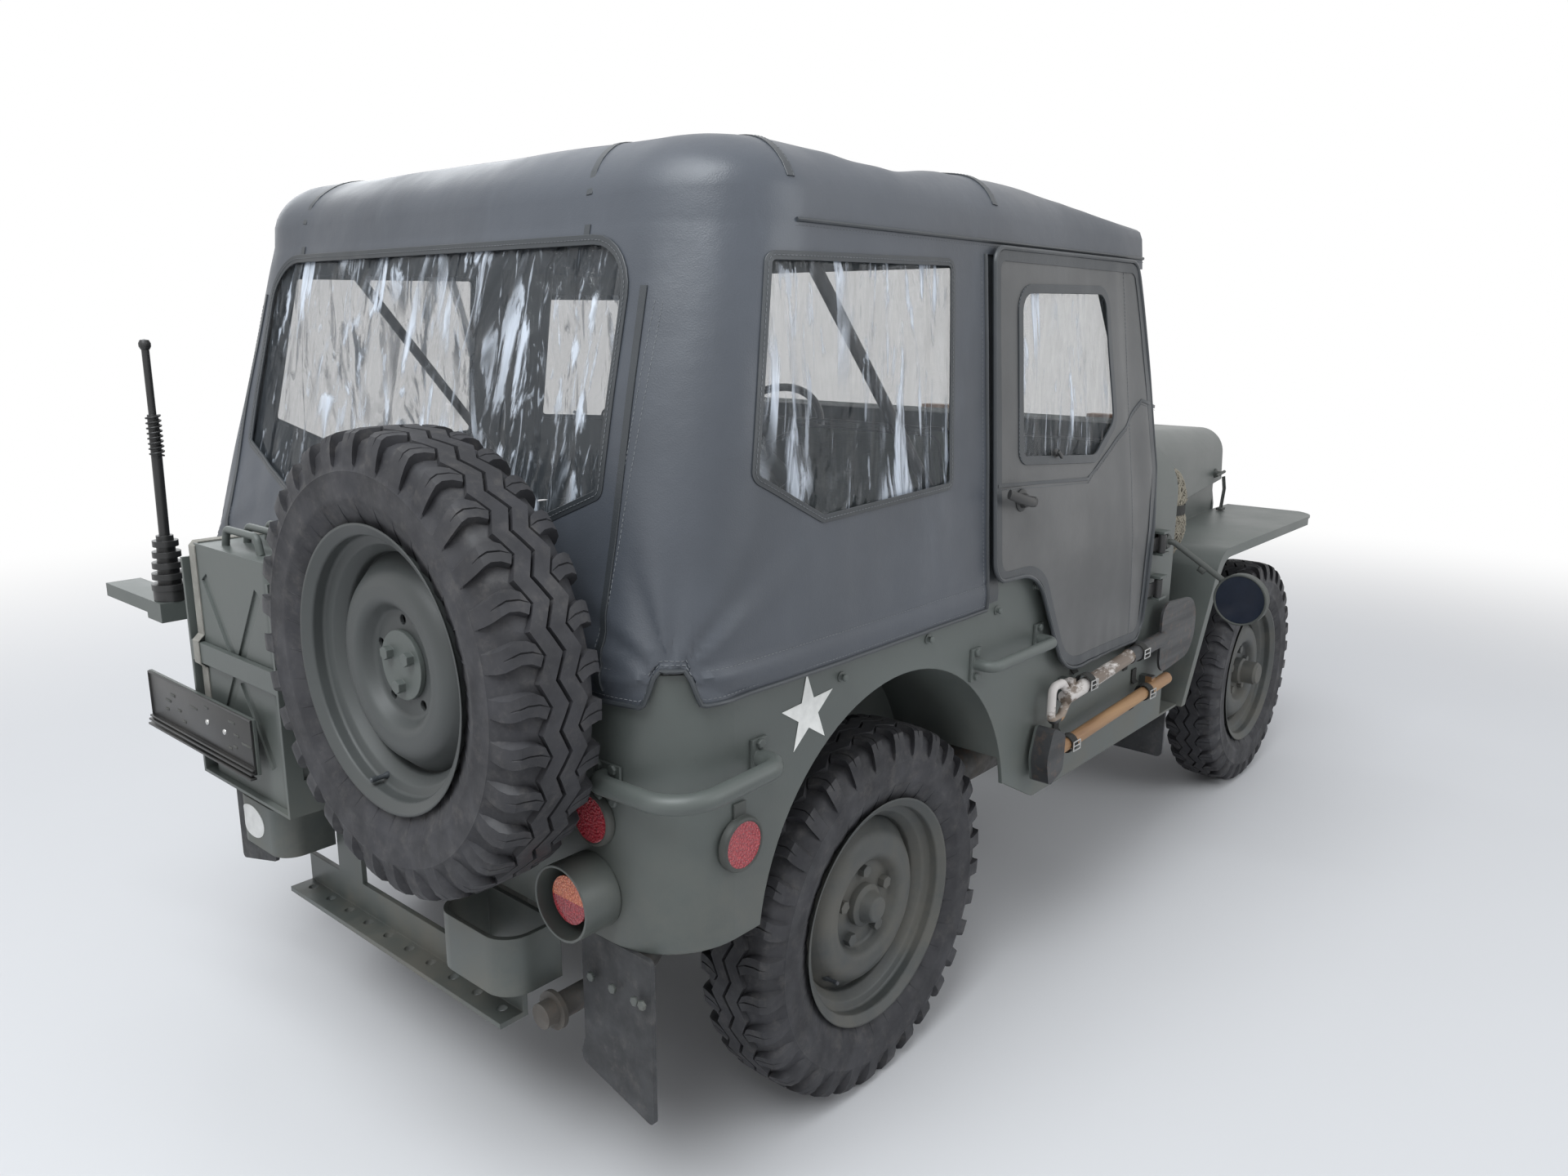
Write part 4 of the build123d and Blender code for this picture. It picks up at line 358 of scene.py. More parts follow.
green = (0.092, 0.104, 0.097)
finishes = {
    "greenPaint": paintMaterial("greenPaint", green),
    "bonnetPaint": paintMaterial("bonnetPaint", green, patch=restBlockWood),
    # painted shade: the wheels take the body's green paint made darker, for the shade they sit in
    "wheelPaint": paintMaterial("wheelPaint", (0.055, 0.060, 0.059), 0.2, 0.4, 0.45),
    "frameIron": paintMaterial("frameIron", (0.055, 0.06, 0.055), 0.3, 0.9, 0.55),
    "bareIron": ironMaterial("bareIron", (0.07, 0.068, 0.065)),
    "blackPaint": paintMaterial("blackPaint", (0.022, 0.022, 0.022), 0.25, 0.3, 0.35, 0.0015),
    "tyreRubber": rubberMaterial("tyreRubber", (0.021, 0.021, 0.024), 0.36),
    "flapRubber": rubberMaterial("flapRubber", (0.030, 0.031, 0.033), 0.4),
    "topVinyl": vinylMaterial("topVinyl", (0.064, 0.072, 0.086), 0.37),
    # the doors' vinyl is lighter than the top's: partly its own tone and partly a painted sheen of reflected
    # light
    "doorVinyl": vinylMaterial("doorVinyl", (0.092, 0.093, 0.093), 0.42),
    "pipingVinyl": vinylMaterial("pipingVinyl", (0.040, 0.045, 0.050), 0.36),
    "threadGrey": plainMaterial("threadGrey", (0.17, 0.18, 0.19), 0.8),
    "seatCloth": clothMaterial("seatCloth", (0.10, 0.115, 0.085)),
    "netCord": clothMaterial("netCord", (0.33, 0.30, 0.24), 1400.0),
    "netShade": clothMaterial("netShade", (0.055, 0.048, 0.038), 1400.0),
    "clearVinyl": clearVinylMaterial(),
    "paneGlass": glassMaterial("paneGlass", (0.75, 0.8, 0.78), 0.18),
    "lampLens": lampLensMaterial(),
    "starWhite": plainMaterial("starWhite", (0.78, 0.78, 0.75), 0.5, 0.0, 90.0),
    "ovalWhite": plainMaterial("ovalWhite", (0.72, 0.72, 0.70), 0.4, 0.0, 70.0),
    # painted reflection: the mirrors' faces are a dark blue-grey colour in place of what a mirror shows
    "mirrorGlass": plainMaterial("mirrorGlass", (0.016, 0.021, 0.034), 0.12, 0.0, 8.0, 0.0008),
    "strapPale": clothMaterial("strapPale", (0.30, 0.29, 0.26), 2200.0),
    "steelBright": plainMaterial("steelBright", (0.55, 0.55, 0.54), 0.32, 0.9),
    "toolsFinish": toolsMaterial(),
    "strapWeb": clothMaterial("strapWeb", (0.032, 0.032, 0.030), 2200.0),
}

nodeFinish = {
    "bonnetPaint": ["bonnet"],
    "greenPaint": ["tub", "front_wings", "grille", "windscreen_frame", "petrol_can", "rear_carriers",
                   "lamps", "grab_handles", "bumpers", "drawbar", "dashboard"],
    "wheelPaint": ["spare_wheel", "front_left_wheel", "front_right_wheel", "rear_left_wheel",
                   "rear_right_wheel"],
    "frameIron": ["chassis_frame", "rear_axle", "front_axle", "knuckle_left", "knuckle_right", "leaf_springs",
                  "mirrors"],
    "bareIron": ["powertrain"],
    "blackPaint": ["top_bows", "aerial", "steering_wheel"],
    "tyreRubber": ["spare_tyre", "front_left_tyre", "front_right_tyre", "rear_left_tyre", "rear_right_tyre"],
    "flapRubber": ["mud_flaps"],
    "topVinyl": ["soft_top"],
    "doorVinyl": ["soft_door_left", "soft_door_right"],
    "seatCloth": ["seats"],
    "netCord": ["net_roll"],
    "clearVinyl": ["clear_windows", "door_window_left", "door_window_right"],
    "paneGlass": ["glass"],
    "lampLens": ["lenses"],
    "toolsFinish": ["side_tools"],
}
for finishName, members in nodeFinish.items():
    for member in members:
        nodes[member].data.materials.clear()
        nodes[member].data.materials.append(finishes[finishName])

# Helpers for pieces: places in millimetres ahead of the rear axle, to the left and above the floor


def at(x, y, z):
    return Vector((layout["rearAxleX"] + x / 1000, y / 1000, z / 1000))


def limit(value, low=0.0, high=1.0):
    # the value held inside a range
    return max(low, min(high, value))


def soften(value):
    # an even rise from 0 to 1 with soft ends
    value = limit(value)
    return value * value * (3 - 2 * value)


def circle(radius, sides, flat=1.0):
    # a round or flattened section of (side, out) pairs, in metres
    turns = [2 * math.pi * k / sides for k in range(sides)]
    return [(radius / 1000 * math.cos(turn), flat * radius / 1000 * math.sin(turn)) for turn in turns]


def onNode(node, start, towards):
    # where a ray meets a CAD node, in metres
    hit, place = nodes[node].ray_cast(start, Vector(towards))[:2]
    if not hit:
        raise ValueError("no surface of " + node + " from " + str(start))
    return place


def meshFrom(name, points, faces=()):
    mesh = bpy.data.meshes.new(name)
    mesh.from_pydata([tuple(point) for point in points], [], faces)
    return mesh


def facedOut(mesh, merge=0.0):
    # the same mesh with its faces turned outwards, after points closer than merge are joined
    made = bmesh.new()
    made.from_mesh(mesh)
    if merge:
        bmesh.ops.remove_doubles(made, verts=made.verts, dist=merge)
    bmesh.ops.recalc_face_normals(made, faces=made.faces)
    made.to_mesh(mesh)
    made.free()
    return mesh


class Form:
    # gathers the points and faces of one piece
    def __init__(self):
        self.points = []
        self.faces = []

    def add(self, points, faces):
        start = len(self.points)
        self.points.extend(points)
        self.faces.extend([tuple(start + i for i in face) for face in faces])

    def grid(self, rows, across=False, along=False, caps=False):
        # rows of equal length joined by faces; across and along close the rows and the columns
        count = len(rows[0])
        faces = []
        for i in range(len(rows) - (0 if along else 1)):
            after = (i + 1) % len(rows)
            for j in range(count - (0 if across else 1)):
                beside = (j + 1) % count
                faces.append((i * count + j, i * count + beside, after * count + beside, after * count + j))
        if caps:
            faces.append(tuple(range(count)))
            faces.append(tuple((len(rows) - 1) * count + j for j in reversed(range(count))))
        self.add([point for row in rows for point in row], faces)

    def sweep(self, path, section, outs, closed=False):
        rows = []
        last = len(path) - 1
        for i, place in enumerate(path):
            before = path[i - 1] if i > 0 or closed else place
            after = path[(i + 1) % (last + 1)] if i < last or closed else place
            ahead = (after - before).normalized()
            out = outs[i] if isinstance(outs, list) else outs
            out = (out - ahead * out.dot(ahead)).normalized()
            side = ahead.cross(out)
            rows.append([place + side * s + out * o for s, o in section])
        self.grid(rows, True, closed, not closed)

    def follow(self, line, section, closed=False):
        # a section along a line of points and outward directions
        self.sweep(line[0], section, line[1], closed)

    def tube(self, path, radius, sides=10):
        outs = []
        out = None
        for i in range(len(path)):
            ahead = (path[min(i + 1, len(path) - 1)] - path[max(i - 1, 0)]).normalized()
            out = ahead.orthogonal() if out is None else out - ahead * out.dot(ahead)
            out.normalize()
            outs.append(out.copy())
        self.sweep(path, circle(radius, sides), outs)

    def lathe(self, profile, place, axis, sides=24):
        # (radius, height) pairs in millimetres turned about an axis
        axis = Vector(axis).normalized()
        side = axis.orthogonal().normalized()
        other = axis.cross(side)
        turns = [2 * math.pi * k / sides for k in range(sides)]
        rows = [[place + axis * height / 1000 + (side * math.cos(turn) + other * math.sin(turn)) * radius / 1000
                 for turn in turns] for radius, height in profile]
        self.grid(rows, True)

    def block(self, place, size, turn=None, edge=1.5, fine=2):
        # a box with soft edges; size and edge in millimetres
        made = bmesh.new()
        bmesh.ops.create_cube(made, size=0.001)
        for point in made.verts:
            point.co = Vector(a * b for a, b in zip(point.co, size))
        bmesh.ops.bevel(made, geom=list(made.edges), offset=edge / 1000, segments=fine, affect="EDGES",
                        profile=0.5)
        made.verts.index_update()
        self.add([place + (turn @ point.co if turn else point.co) for point in made.verts],
                 [tuple(point.index for point in face.verts) for face in made.faces])
        made.free()

    def make(self, name, finish, slot, body="car", angle=34):
        mesh = facedOut(meshFrom(name, self.points, self.faces), 0.00002)
        return placePiece(name, mesh, finish, body, angle)


def placePiece(name, mesh, finish, body="car", angle=34):
    mesh.name = name
    mesh.materials.clear()
    mesh.materials.append(finishes[finish])
    mesh.shade_smooth()
    mesh.set_sharp_from_angle(angle=math.radians(angle))
    piece = bpy.data.objects.new(name, mesh)
    scene.collection.objects.link(piece)
    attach(piece, body)
    return piece


def applied(host):
    # the mesh of an object with its modifiers, taken off the object
    mesh = bpy.data.meshes.new_from_object(host.evaluated_get(bpy.context.evaluated_depsgraph_get()))
    bpy.data.objects.remove(host)
    return mesh


def hostFor(mesh):
    # a bare object that modifiers can work on
    host = bpy.data.objects.new("host", mesh)
    scene.collection.objects.link(host)
    return host


def thickened(points, faces, thickness, inside):
    # a closed sheet, thickness in millimetres, below an outer skin that faces away from the point inside
    mesh = meshFrom("skin", points, faces)
    made = bmesh.new()
    made.from_mesh(mesh)
    bmesh.ops.delete(made, geom=[point for point in made.verts if not point.link_faces], context="VERTS")
    bmesh.ops.recalc_face_normals(made, faces=made.faces)
    facing = sum(face.normal.dot(face.calc_center_median() - inside) * face.calc_area() for face in made.faces)
    if facing < 0:
        bmesh.ops.reverse_faces(made, faces=made.faces)
    made.to_mesh(mesh)
    made.free()
    host = hostFor(mesh)
    skin = host.modifiers.new("skin", "SOLIDIFY")
    skin.thickness = thickness / 1000
    skin.offset = -1
    return applied(host)


def roundedOutline(corners, fine=7):
    # corners of (across, up, radius) joined with arcs
    points = []
    for i, (across, up, radius) in enumerate(corners):
        here = Vector((across, up))
        back = (Vector(corners[i - 1][:2]) - here).normalized()
        ahead = (Vector(corners[(i + 1) % len(corners)][:2]) - here).normalized()
        half = back.angle(ahead) / 2
        if radius < 1 or abs(half - math.pi / 2) < 0.02:
            points.append(here)
            continue
        centre = here + (back + ahead).normalized() * radius / math.sin(half)
        start = here + back * radius / math.tan(half) - centre
        end = here + ahead * radius / math.tan(half) - centre
        first = math.atan2(start.y, start.x)
        turn = (math.atan2(end.y, end.x) - first + math.pi) % (2 * math.pi) - math.pi
        for k in range(fine + 1):
            angle = first + turn * k / fine
            points.append(centre + Vector((math.cos(angle), math.sin(angle))) * radius)
    return points


def spaced(path, step, closed=False):
    # the same path with points about this far apart
    points = []
    count = len(path)
    for i in range(count if closed else count - 1):
        a, b = path[i], path[(i + 1) % count]
        parts = max(1, round((b - a).length / step))
        points.extend(a.lerp(b, k / parts) for k in range(parts))
    if not closed:
        points.append(path[-1])
    return points


def insideOf(outline, across, up):
    # whether a flat place lies inside a closed outline
    inside = False
    for i, b in enumerate(outline):
        a = outline[i - 1]
        if (a.y > up) != (b.y > up) and across < a.x + (b.x - a.x) * (up - a.y) / (b.y - a.y):
            inside = not inside
    return inside


def nearestOn(outline, point):
    # the point of a closed outline that lies nearest
    best = None
    for i, b in enumerate(outline):
        a = outline[i - 1]
        span = b - a
        share = limit((point - a).dot(span) / max(span.length_squared, 1e-9))
        found = a + span * share
        if best is None or (found - point).length < (best - point).length:
            best = found
    return best


def cutPanel(outline, holes, step, place):
    # a flat grid cut to an outline and its holes, with its rim on them, then bent into place
    left, right = min(p.x for p in outline), max(p.x for p in outline)
    low, high = min(p.y for p in outline), max(p.y for p in outline)
    wide = math.ceil((right - left) / step)
    tall = math.ceil((high - low) / step)
    flat = [Vector((left + (right - left) * i / wide, low + (high - low) * j / tall))
            for j in range(tall + 1) for i in range(wide + 1)]
    faces = []
    gone = set()
    for j in range(tall):
        for i in range(wide):
            corner = j * (wide + 1) + i
            face = (corner, corner + 1, corner + wide + 2, corner + wide + 1)
            middle = (flat[face[0]] + flat[face[2]]) / 2
            if insideOf(outline, *middle) and not any(insideOf(hole, *middle) for hole in holes):
                faces.append(face)
            else:
                gone.update(face)
    used = {i for face in faces for i in face}
    rim = used & gone | {i for i in used if flat[i].x in (left, right) or flat[i].y in (low, high)}
    for i in rim:
        found = [nearestOn(line, flat[i]) for line in [outline, *holes]]
        flat[i] = min(found, key=lambda p: (p - flat[i]).length)
    return [place(p.x, p.y) for p in flat], faces


def areaOf(piece):
    # one side of a thin sheet
    return sum(face.area for face in piece.data.polygons) / 2


class RepeatTree(NodeTree):
    # Geometry Nodes with named inputs, which end in real, painted copies
    def __init__(self, name, inputs):
        super().__init__(bpy.data.node_groups.new(name, "GeometryNodeTree"))
        for label, kind in {**inputs, "Finish": "Material"}.items():
            self.tree.interface.new_socket(label, in_out="INPUT", socket_type="NodeSocket" + kind)
        self.tree.interface.new_socket("Copies", in_out="OUTPUT", socket_type="NodeSocketGeometry")
        self.given = self.tree.nodes.new("NodeGroupInput").outputs

    def spread(self, points, model, rotation, join=0.0):
        # copies of a model on points, made real, joined where they meet and painted
        single = self.add("GeometryNodeObjectInfo", {"Object": model}).outputs["Geometry"]
        inputs = {"Points": points, "Instance": single, "Rotation": rotation}
        copies = self.add("GeometryNodeInstanceOnPoints", inputs).outputs["Instances"]
        made = self.add("GeometryNodeRealizeInstances", {"Geometry": copies}).outputs["Geometry"]
        if join:
            inputs = {"Geometry": made, "Distance": join}
            made = self.add("GeometryNodeMergeByDistance", inputs).outputs["Geometry"]
        inputs = {"Geometry": made, "Material": self.given["Finish"]}
        self.add("NodeGroupOutput", {"Copies": self.add("GeometryNodeSetMaterial", inputs).outputs["Geometry"]})
        return self.tree


def makeStitchTree():
    # short stitches on points that carry their own turn
    row = RepeatTree("stitchesOnPoints", {"Points": "Geometry", "Stitch": "Object"})
    turn = row.add("GeometryNodeInputNamedAttribute", {"Name": "turn"}, data_type="FLOAT_VECTOR")
    return row.spread(row.given["Points"], row.given["Stitch"], turn.outputs["Attribute"])


def makeRingTree():
    # copies of one segment turned about the Y axis and joined
    ring = RepeatTree("ringOfCopies", {"Geometry": "Geometry", "Segment": "Object", "Count": "Int"})
    line = ring.add("GeometryNodeMeshLine", {"Count": ring.given["Count"], "Offset": (0, 0, 0)}).outputs["Mesh"]
    share = ring.maths("DIVIDE", ring.add("GeometryNodeInputIndex").outputs[0], ring.given["Count"])
    turn = ring.add("ShaderNodeCombineXYZ", {"Y": ring.maths("MULTIPLY", share, 2 * math.pi)})
    return ring.spread(line, ring.given["Segment"], turn.outputs["Vector"], 0.0003)


def runTree(tree, mesh, values):
    # the plain mesh that a Geometry Nodes tree makes, with its named inputs set by their identifiers
    host = hostFor(mesh)
    step = host.modifiers.new("repeat", "NODES")
    step.node_group = tree
    for item in tree.interface.items_tree:
        if item.in_out == "INPUT" and item.name in values:
            step[item.identifier] = values[item.name]
    host.update_tag()
    bpy.context.view_layer.update()
    return applied(host)


stitchTree = makeStitchTree()
ringTree = makeRingTree()
stitchSet = {"size": (5.2, 1.1, 0.9), "edge": 0.35, "step": 8.0}
stitchForm = Form()
stitchForm.block(Vector((0, 0, 0)), stitchSet["size"], None, stitchSet["edge"], 1)
stitchModel = hostFor(meshFrom("oneStitch", stitchForm.points, stitchForm.faces))


def makeStitches(name, lines, body="car"):
    # lines are pairs of points and outward directions
    places, turns = [], []
    for path, outs in lines:
        left = 0.0
        for i in range(len(path) - 1):
            span = path[i + 1] - path[i]
            ahead = span.normalized()
            out = (outs[i] - ahead * outs[i].dot(ahead)).normalized()
            turn = Matrix((ahead, out.cross(ahead), out)).transposed().to_euler()
            while left < span.length:
                places.append(path[i] + ahead * left)
                turns.extend(turn)
                left += stitchSet["step"] / 1000
            left -= span.length
    mesh = meshFrom(name, places)
    mesh.attributes.new("turn", "FLOAT_VECTOR", "POINT").data.foreach_set("vector", turns)
    made = runTree(stitchTree, mesh, {"Stitch": stitchModel, "Finish": finishes["threadGrey"]})
    return placePiece(name, made, "threadGrey", body)


# Tyres: one pitch of the tread, repeated round the wheel
print("stage: tyres")
# millimetres, with skew as a share of a pitch: sipes cut the lugs between these half widths, the middle rib
# ends at ribEdge, and its zigzag fades out over ribFade
tyreSet = {"lugs": 32, "zigzag": 9.0, "skew": 0.13, "sipe": 3.0, "sipeFrom": 40, "sipeTo": 72, "ribEdge": 33,
           "ribFade": 33, "lugRun": 44}
# Half section from the middle outwards; columns: half width and radius between the lugs, then on them
tyreHalf = [
    (0, 346, 0, 346), (2.5, 346, 2.5, 346), (3.4, 357, 3.4, 357), (29, 356.5, 29, 356.5), (30, 347, 30, 347),
    (32.5, 346.8, 32.5, 346.8), (33, 346.5, 33.5, 356.3), (45, 344, 45, 355.8), (58, 339, 58, 354),
    (65, 332, 67, 350), (69, 321, 74, 339), (73, 310, 78, 323), (77, 303, 79, 308), (79, 299, 79, 299),
    (80, 297, 80, 297), (79, 294, 79, 294), (78.5, 280, 78.5, 280), (76.5, 262, 76.5, 262), (77, 258, 77, 258),
    (75, 253, 75, 253), (66, 234, 66, 234), (59, 220, 59, 220), (54, 208, 54, 208), (48, 206, 48, 206),
]
# Columns across one pitch, as shares of it: side one's lugs fill the first half and side two's the second
tyreColumns = (0, 0.03, 0.06, 0.25, 0.26, 0.275, 0.29, 0.5, 0.53, 0.56, 0.75, 0.76, 0.775, 0.79, 1.0)
lugTops = {-1: (0.06, 0.25, 0.26, 0.275, 0.29, 0.5), 1: (0.56, 0.75, 0.76, 0.775, 0.79, 1.0, 0)}
sipeColumns = {-1: (0.26, 0.275), 1: (0.76, 0.775)}


def tyreSegment():
    pitch = 2 * math.pi / tyreSet["lugs"]
    rows = []
    for side, section in ((-1, tyreHalf[:0:-1]), (1, tyreHalf)):
        for lowHalf, lowRadius, highHalf, highRadius in section:
            row = []
            for share in tyreColumns:
                onLug = share in lugTops[side]
                half, radius = (highHalf, highRadius) if onLug else (lowHalf, lowRadius)
                if share in sipeColumns[side] and tyreSet["sipeFrom"] < half < tyreSet["sipeTo"]:
                    radius -= tyreSet["sipe"]
                wave = 1 - 4 * abs((share + 0.25) % 1 - 0.5)
                fade = 1 - soften((half - tyreSet["ribEdge"]) / tyreSet["ribFade"])
                bend = math.sin(math.pi * limit((half - tyreSet["ribEdge"]) / tyreSet["lugRun"]))
                turn = (share + tyreSet["skew"] * bend) * pitch
                y = side * half + tyreSet["zigzag"] * wave * fade
                row.append(Vector((radius * math.sin(turn), y, radius * math.cos(turn))) / 1000)
            rows.append(row)
    form = Form()
    form.grid(rows, False, True)
    return hostFor(meshFrom("tyreSegment", form.points, form.faces))


segment = tyreSegment()
ringMesh = facedOut(runTree(ringTree, bpy.data.meshes.new("tyreHost"),
                            {"Segment": segment, "Count": tyreSet["lugs"], "Finish": finishes["tyreRubber"]}))
bpy.data.objects.remove(segment)


def onAxle(x, side):
    return at(x, side * layout["trackHalf"], layout["axleZ"])


# columns: piece, node, body, place in metres, turn about the vertical, roll
for name, node, body, place, aside, roll in (
    ("tyreFrontLeft", "front_left_tyre", "wheel_front_left", onAxle(layout["wheelbase"], 1), 0, 11),
    ("tyreFrontRight", "front_right_tyre", "wheel_front_right", onAxle(layout["wheelbase"], -1), 0, 4),
    ("tyreRearLeft", "rear_left_tyre", "wheel_rear_left", onAxle(0, 1), 0, 27),
    ("tyreRearRight", "rear_right_tyre", "wheel_rear_right", onAxle(0, -1), 0, 2),
    ("tyreSpare", "spare_tyre", "car", at(-716, -309, 938), 90, 5),
):
    mesh = ringMesh.copy()
    mesh.transform(Matrix.Translation(place) @ Matrix.Rotation(math.radians(aside), 4, "Z")
                   @ Matrix.Rotation(math.radians(roll), 4, "Y"))
    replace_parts(placePiece(name, mesh, "tyreRubber", body, 30), node)

# Soft top: one skin over walls, shoulders and roof
print("stage: soft top")
# millimetres; rear, half and corner give the plan at the band and at the gutter, notch the hem's rear corners
topSet = {"hem": 915.0, "band": 966.0, "gutter": 1590.0, "rear": (-604.0, -455.0), "half": (744.0, 703.0),
          "corner": (139.0, 190.0), "front": 906.0, "post": 226.0, "flap": 1567.0, "rearBow": -250.0,
          "rearBowZ": 1716.0, "frontBow": 325.0, "frontBowZ": 1738.0, "headerZ": 1652.0, "sag": 30.0,
          "crownZ": 1744.0, "crownDrop": 38.0, "shoulder": 150.0, "shoulderReach": 300.0, "shoulderCurve": 2.6,
          "slopeFrom": 150.0, "slope": 0.15, "roofBlend": 14.0, "thickness": 2.4, "notch": (-561.0, 705.0),
          "notchRise": 53, "creaseZ": 958, "creaseDepth": 5.2, "creaseReach": 115, "creaseEnd": 420,
          "creaseSide": 380, "hemRoll": 942, "spine": -60.0}
# rows of faces up the walls and the roof, and columns in each zone of the walls
topCounts = {"wallRows": 52, "roofRows": 46, "front": 56, "side": 52, "corner": 30, "rear": 92}
topMiddle = at(100, 0, 1250)  # a point inside the top, which its skin and panes face away from
rearWindow = roundedOutline([(-545, 1200, 12), (-330, 1106, 60), (330, 1106, 60), (545, 1200, 12),
                             (532, 1562, 85), (-532, 1562, 85)])
quarterWindow = roundedOutline([(-348, 1538, 14), (120, 1548, 14), (106, 1164, 14), (-260, 1150, 14),
                                (-410, 1226, 14)])


def topPlan(z):
    rise = limit((z - topSet["band"]) / (topSet["gutter"] - topSet["band"]))
    return [low + (high - low) * rise for low, high in (topSet["rear"], topSet["half"], topSet["corner"])]


def creases(x, y, z):
    # folds that fan out from the notch in the hem at each rear corner
    notchX, notchY = topSet["notch"]
    along = ((x - notchX) + (abs(y) - notchY)) * 0.7071
    up = z - topSet["creaseZ"]
    far = math.hypot(along, up)
    if far > topSet["creaseEnd"] or abs(along) > topSet["creaseSide"]:
        return 0.0
    turn = math.atan2(up, along)
    fold = math.cos(turn * 10.5 + 0.6) + 0.5 * math.cos(turn * 17 + 2)
    return topSet["creaseDepth"] * fold * math.exp(-far / topSet["creaseReach"]) * limit(far / 45)


def wallRipple(x, y, z):
    # how far the slack walls stand out of their plan, with the rolled hem and the groove over it
    broad = noise.noise(Vector((x / 230, y / 230, z / 430 + 3)))
    fine = noise.noise(Vector((x / 70 + 5, y / 70, z / 160)))
    upright = noise.noise(Vector((x / 46, y / 46, z / 620 + 9)))
    push = 3.2 * broad + 1.1 * fine + 1.0 * upright + creases(x, y, z)
    roll = math.exp(-((z - topSet["hemRoll"]) / 14) ** 2)
    groove = math.exp(-((z - topSet["band"]) / 6) ** 2)
    return push * soften((topSet["gutter"] - z) / 50) + (2.0 * roll - 1.6 * groove)


def wallPoint(kind, along, z, side=-1, lift=0.0):
    # along is the place along the side or across the rear; lift is outwards, all in millimetres
    rear, half, corner = topPlan(z)
    if kind == "side":
        back = limit(rear + corner - along, 0, corner) / corner
        reach = math.sqrt(1 - back * back)
        x, y, out = along, side * (half - corner + corner * reach), Vector((-back, side * reach, 0))
    else:
        over = limit(abs(along) - (half - corner), 0, corner) / corner
        reach = math.sqrt(1 - over * over)
        x, y, out = rear + corner - corner * reach, along, Vector((-reach, math.copysign(over, along), 0))
    push = wallRipple(x, y, z) + lift
    return at(x + out.x * push, y + out.y * push, z)


def roofRidge(x):
    # the roof's height along the middle, from bow to bow, and how far x lies between the bows and ahead of them
    between = limit((x - topSet["rearBow"]) / (topSet["frontBow"] - topSet["rearBow"]))
    ahead = limit((x - topSet["frontBow"]) / (topSet["front"] - topSet["frontBow"]))
    if x < topSet["frontBow"]:
        ridge = topSet["rearBowZ"] + (topSet["frontBowZ"] - topSet["rearBowZ"]) * between
    else:
        ridge = topSet["frontBowZ"] + (topSet["headerZ"] - topSet["frontBowZ"]) * ahead
    ridge -= topSet["sag"] * math.sin(math.pi * between) + 10 * math.sin(math.pi * ahead)
    return ridge, between, ahead


def roofPoint(x, y, lift=0.0):
    rear, half, corner = topPlan(topSet["gutter"])
    aside, back = abs(y) - (half - corner), rear + corner - x
    inset = corner - (math.hypot(max(aside, 0), max(back, 0)) + min(max(aside, back), 0))
    ease = 1 - limit(inset / topSet["shoulderReach"])
    curve = topSet["shoulderCurve"]
    rise = topSet["shoulder"] * (1 - ease ** curve) ** (1 / curve)
    rise += topSet["slope"] * max(0, inset - topSet["slopeFrom"])
    ridge, between, ahead = roofRidge(x)
    crown = topSet["crownZ"] - topSet["crownDrop"] * (y / half) ** 2
    first, second = min(ridge, crown), topSet["gutter"] + rise
    blend = topSet["roofBlend"]
    mixed = limit(0.5 + 0.5 * (second - first) / blend)
    height = second + (first - second) * mixed - blend * mixed * (1 - mixed)
    # folds at a slant, slack between the bows, and a ridge over the front bow
    slack = math.sin(math.pi * between) + 0.5 * math.sin(math.pi * ahead) + 0.35
    slant, across = x * 0.8 + abs(y) * 0.6, abs(y) * 0.8 - x * 0.6
    folds = noise.noise(Vector((slant / 75, across / 420, 4.0 if y > 0 else 1.0)))
    soft = noise.noise(Vector((x / 190, y / 190, 2)))
    height += (3.2 * folds * slack + 3.0 * soft) * soften(inset / 70)
    bow = x - topSet["frontBow"] + 45 * (abs(y) / half) ** 3
    height += 2.5 * math.exp(-(bow / 16) ** 2) * soften(inset / 40)
    return at(x, y, max(height, topSet["gutter"]) + lift)


def hemAt(x, y):
    # the lower edge, with a notch over each rear corner of the tub
    off = math.hypot(x - topSet["notch"][0], abs(y) - topSet["notch"][1])
    return topSet["hem"] + topSet["notchRise"] * (1 - soften((off - 18) / 26))


def topColumns():
    # zone, share and side of each upright line of the skin, from the right front round to the left front
    ahead = [(zone, k / topCounts[zone], -1)
             for zone in ("front", "side", "corner") for k in range(topCounts[zone])]
    rear = [("rear", -1 + 2 * k / topCounts["rear"], 1) for k in range(topCounts["rear"] + 1)]
    return ahead + rear + [(zone, share, 1) for zone, share, side in reversed(ahead)]


def columnPlace(zone, share, side, z):
    # the wall that a column stands on, and its place along it
    rear, half, corner = topPlan(z)
    if zone == "front":
        return "side", topSet["front"] + (topSet["post"] - topSet["front"]) * share
    if zone == "side":
        return "side", topSet["post"] + (rear + corner - topSet["post"]) * share
    if zone == "corner" and share < 0.5:
        return "side", rear + corner - corner * math.sin(math.radians(90) * share)
    if zone == "corner":
        return "rear", side * (half - corner + corner * math.cos(math.radians(90) * share))
    return "rear", share * (half - corner)


def wallAt(column, z, lift=0.0):
    kind, along = columnPlace(*column, z)
    return wallPoint(kind, along, z, column[2], lift)


def flatPlace(column, z):
    # the undisturbed place in millimetres, for the hem's height
    kind, along = columnPlace(*column, z)
    rear, half, corner = topPlan(z)
    if kind == "side":
        back = limit(rear + corner - along, 0, corner)
        return along, column[2] * (half - corner + math.sqrt(corner * corner - back * back))
    over = limit(abs(along) - (half - corner), 0, corner)
    return rear + corner - math.sqrt(corner * corner - over * over), along


def hemAndFold(column):
    hem = hemAt(*flatPlace(column, topSet["hem"]))
    return hem, max(topSet["band"], hem + 16)


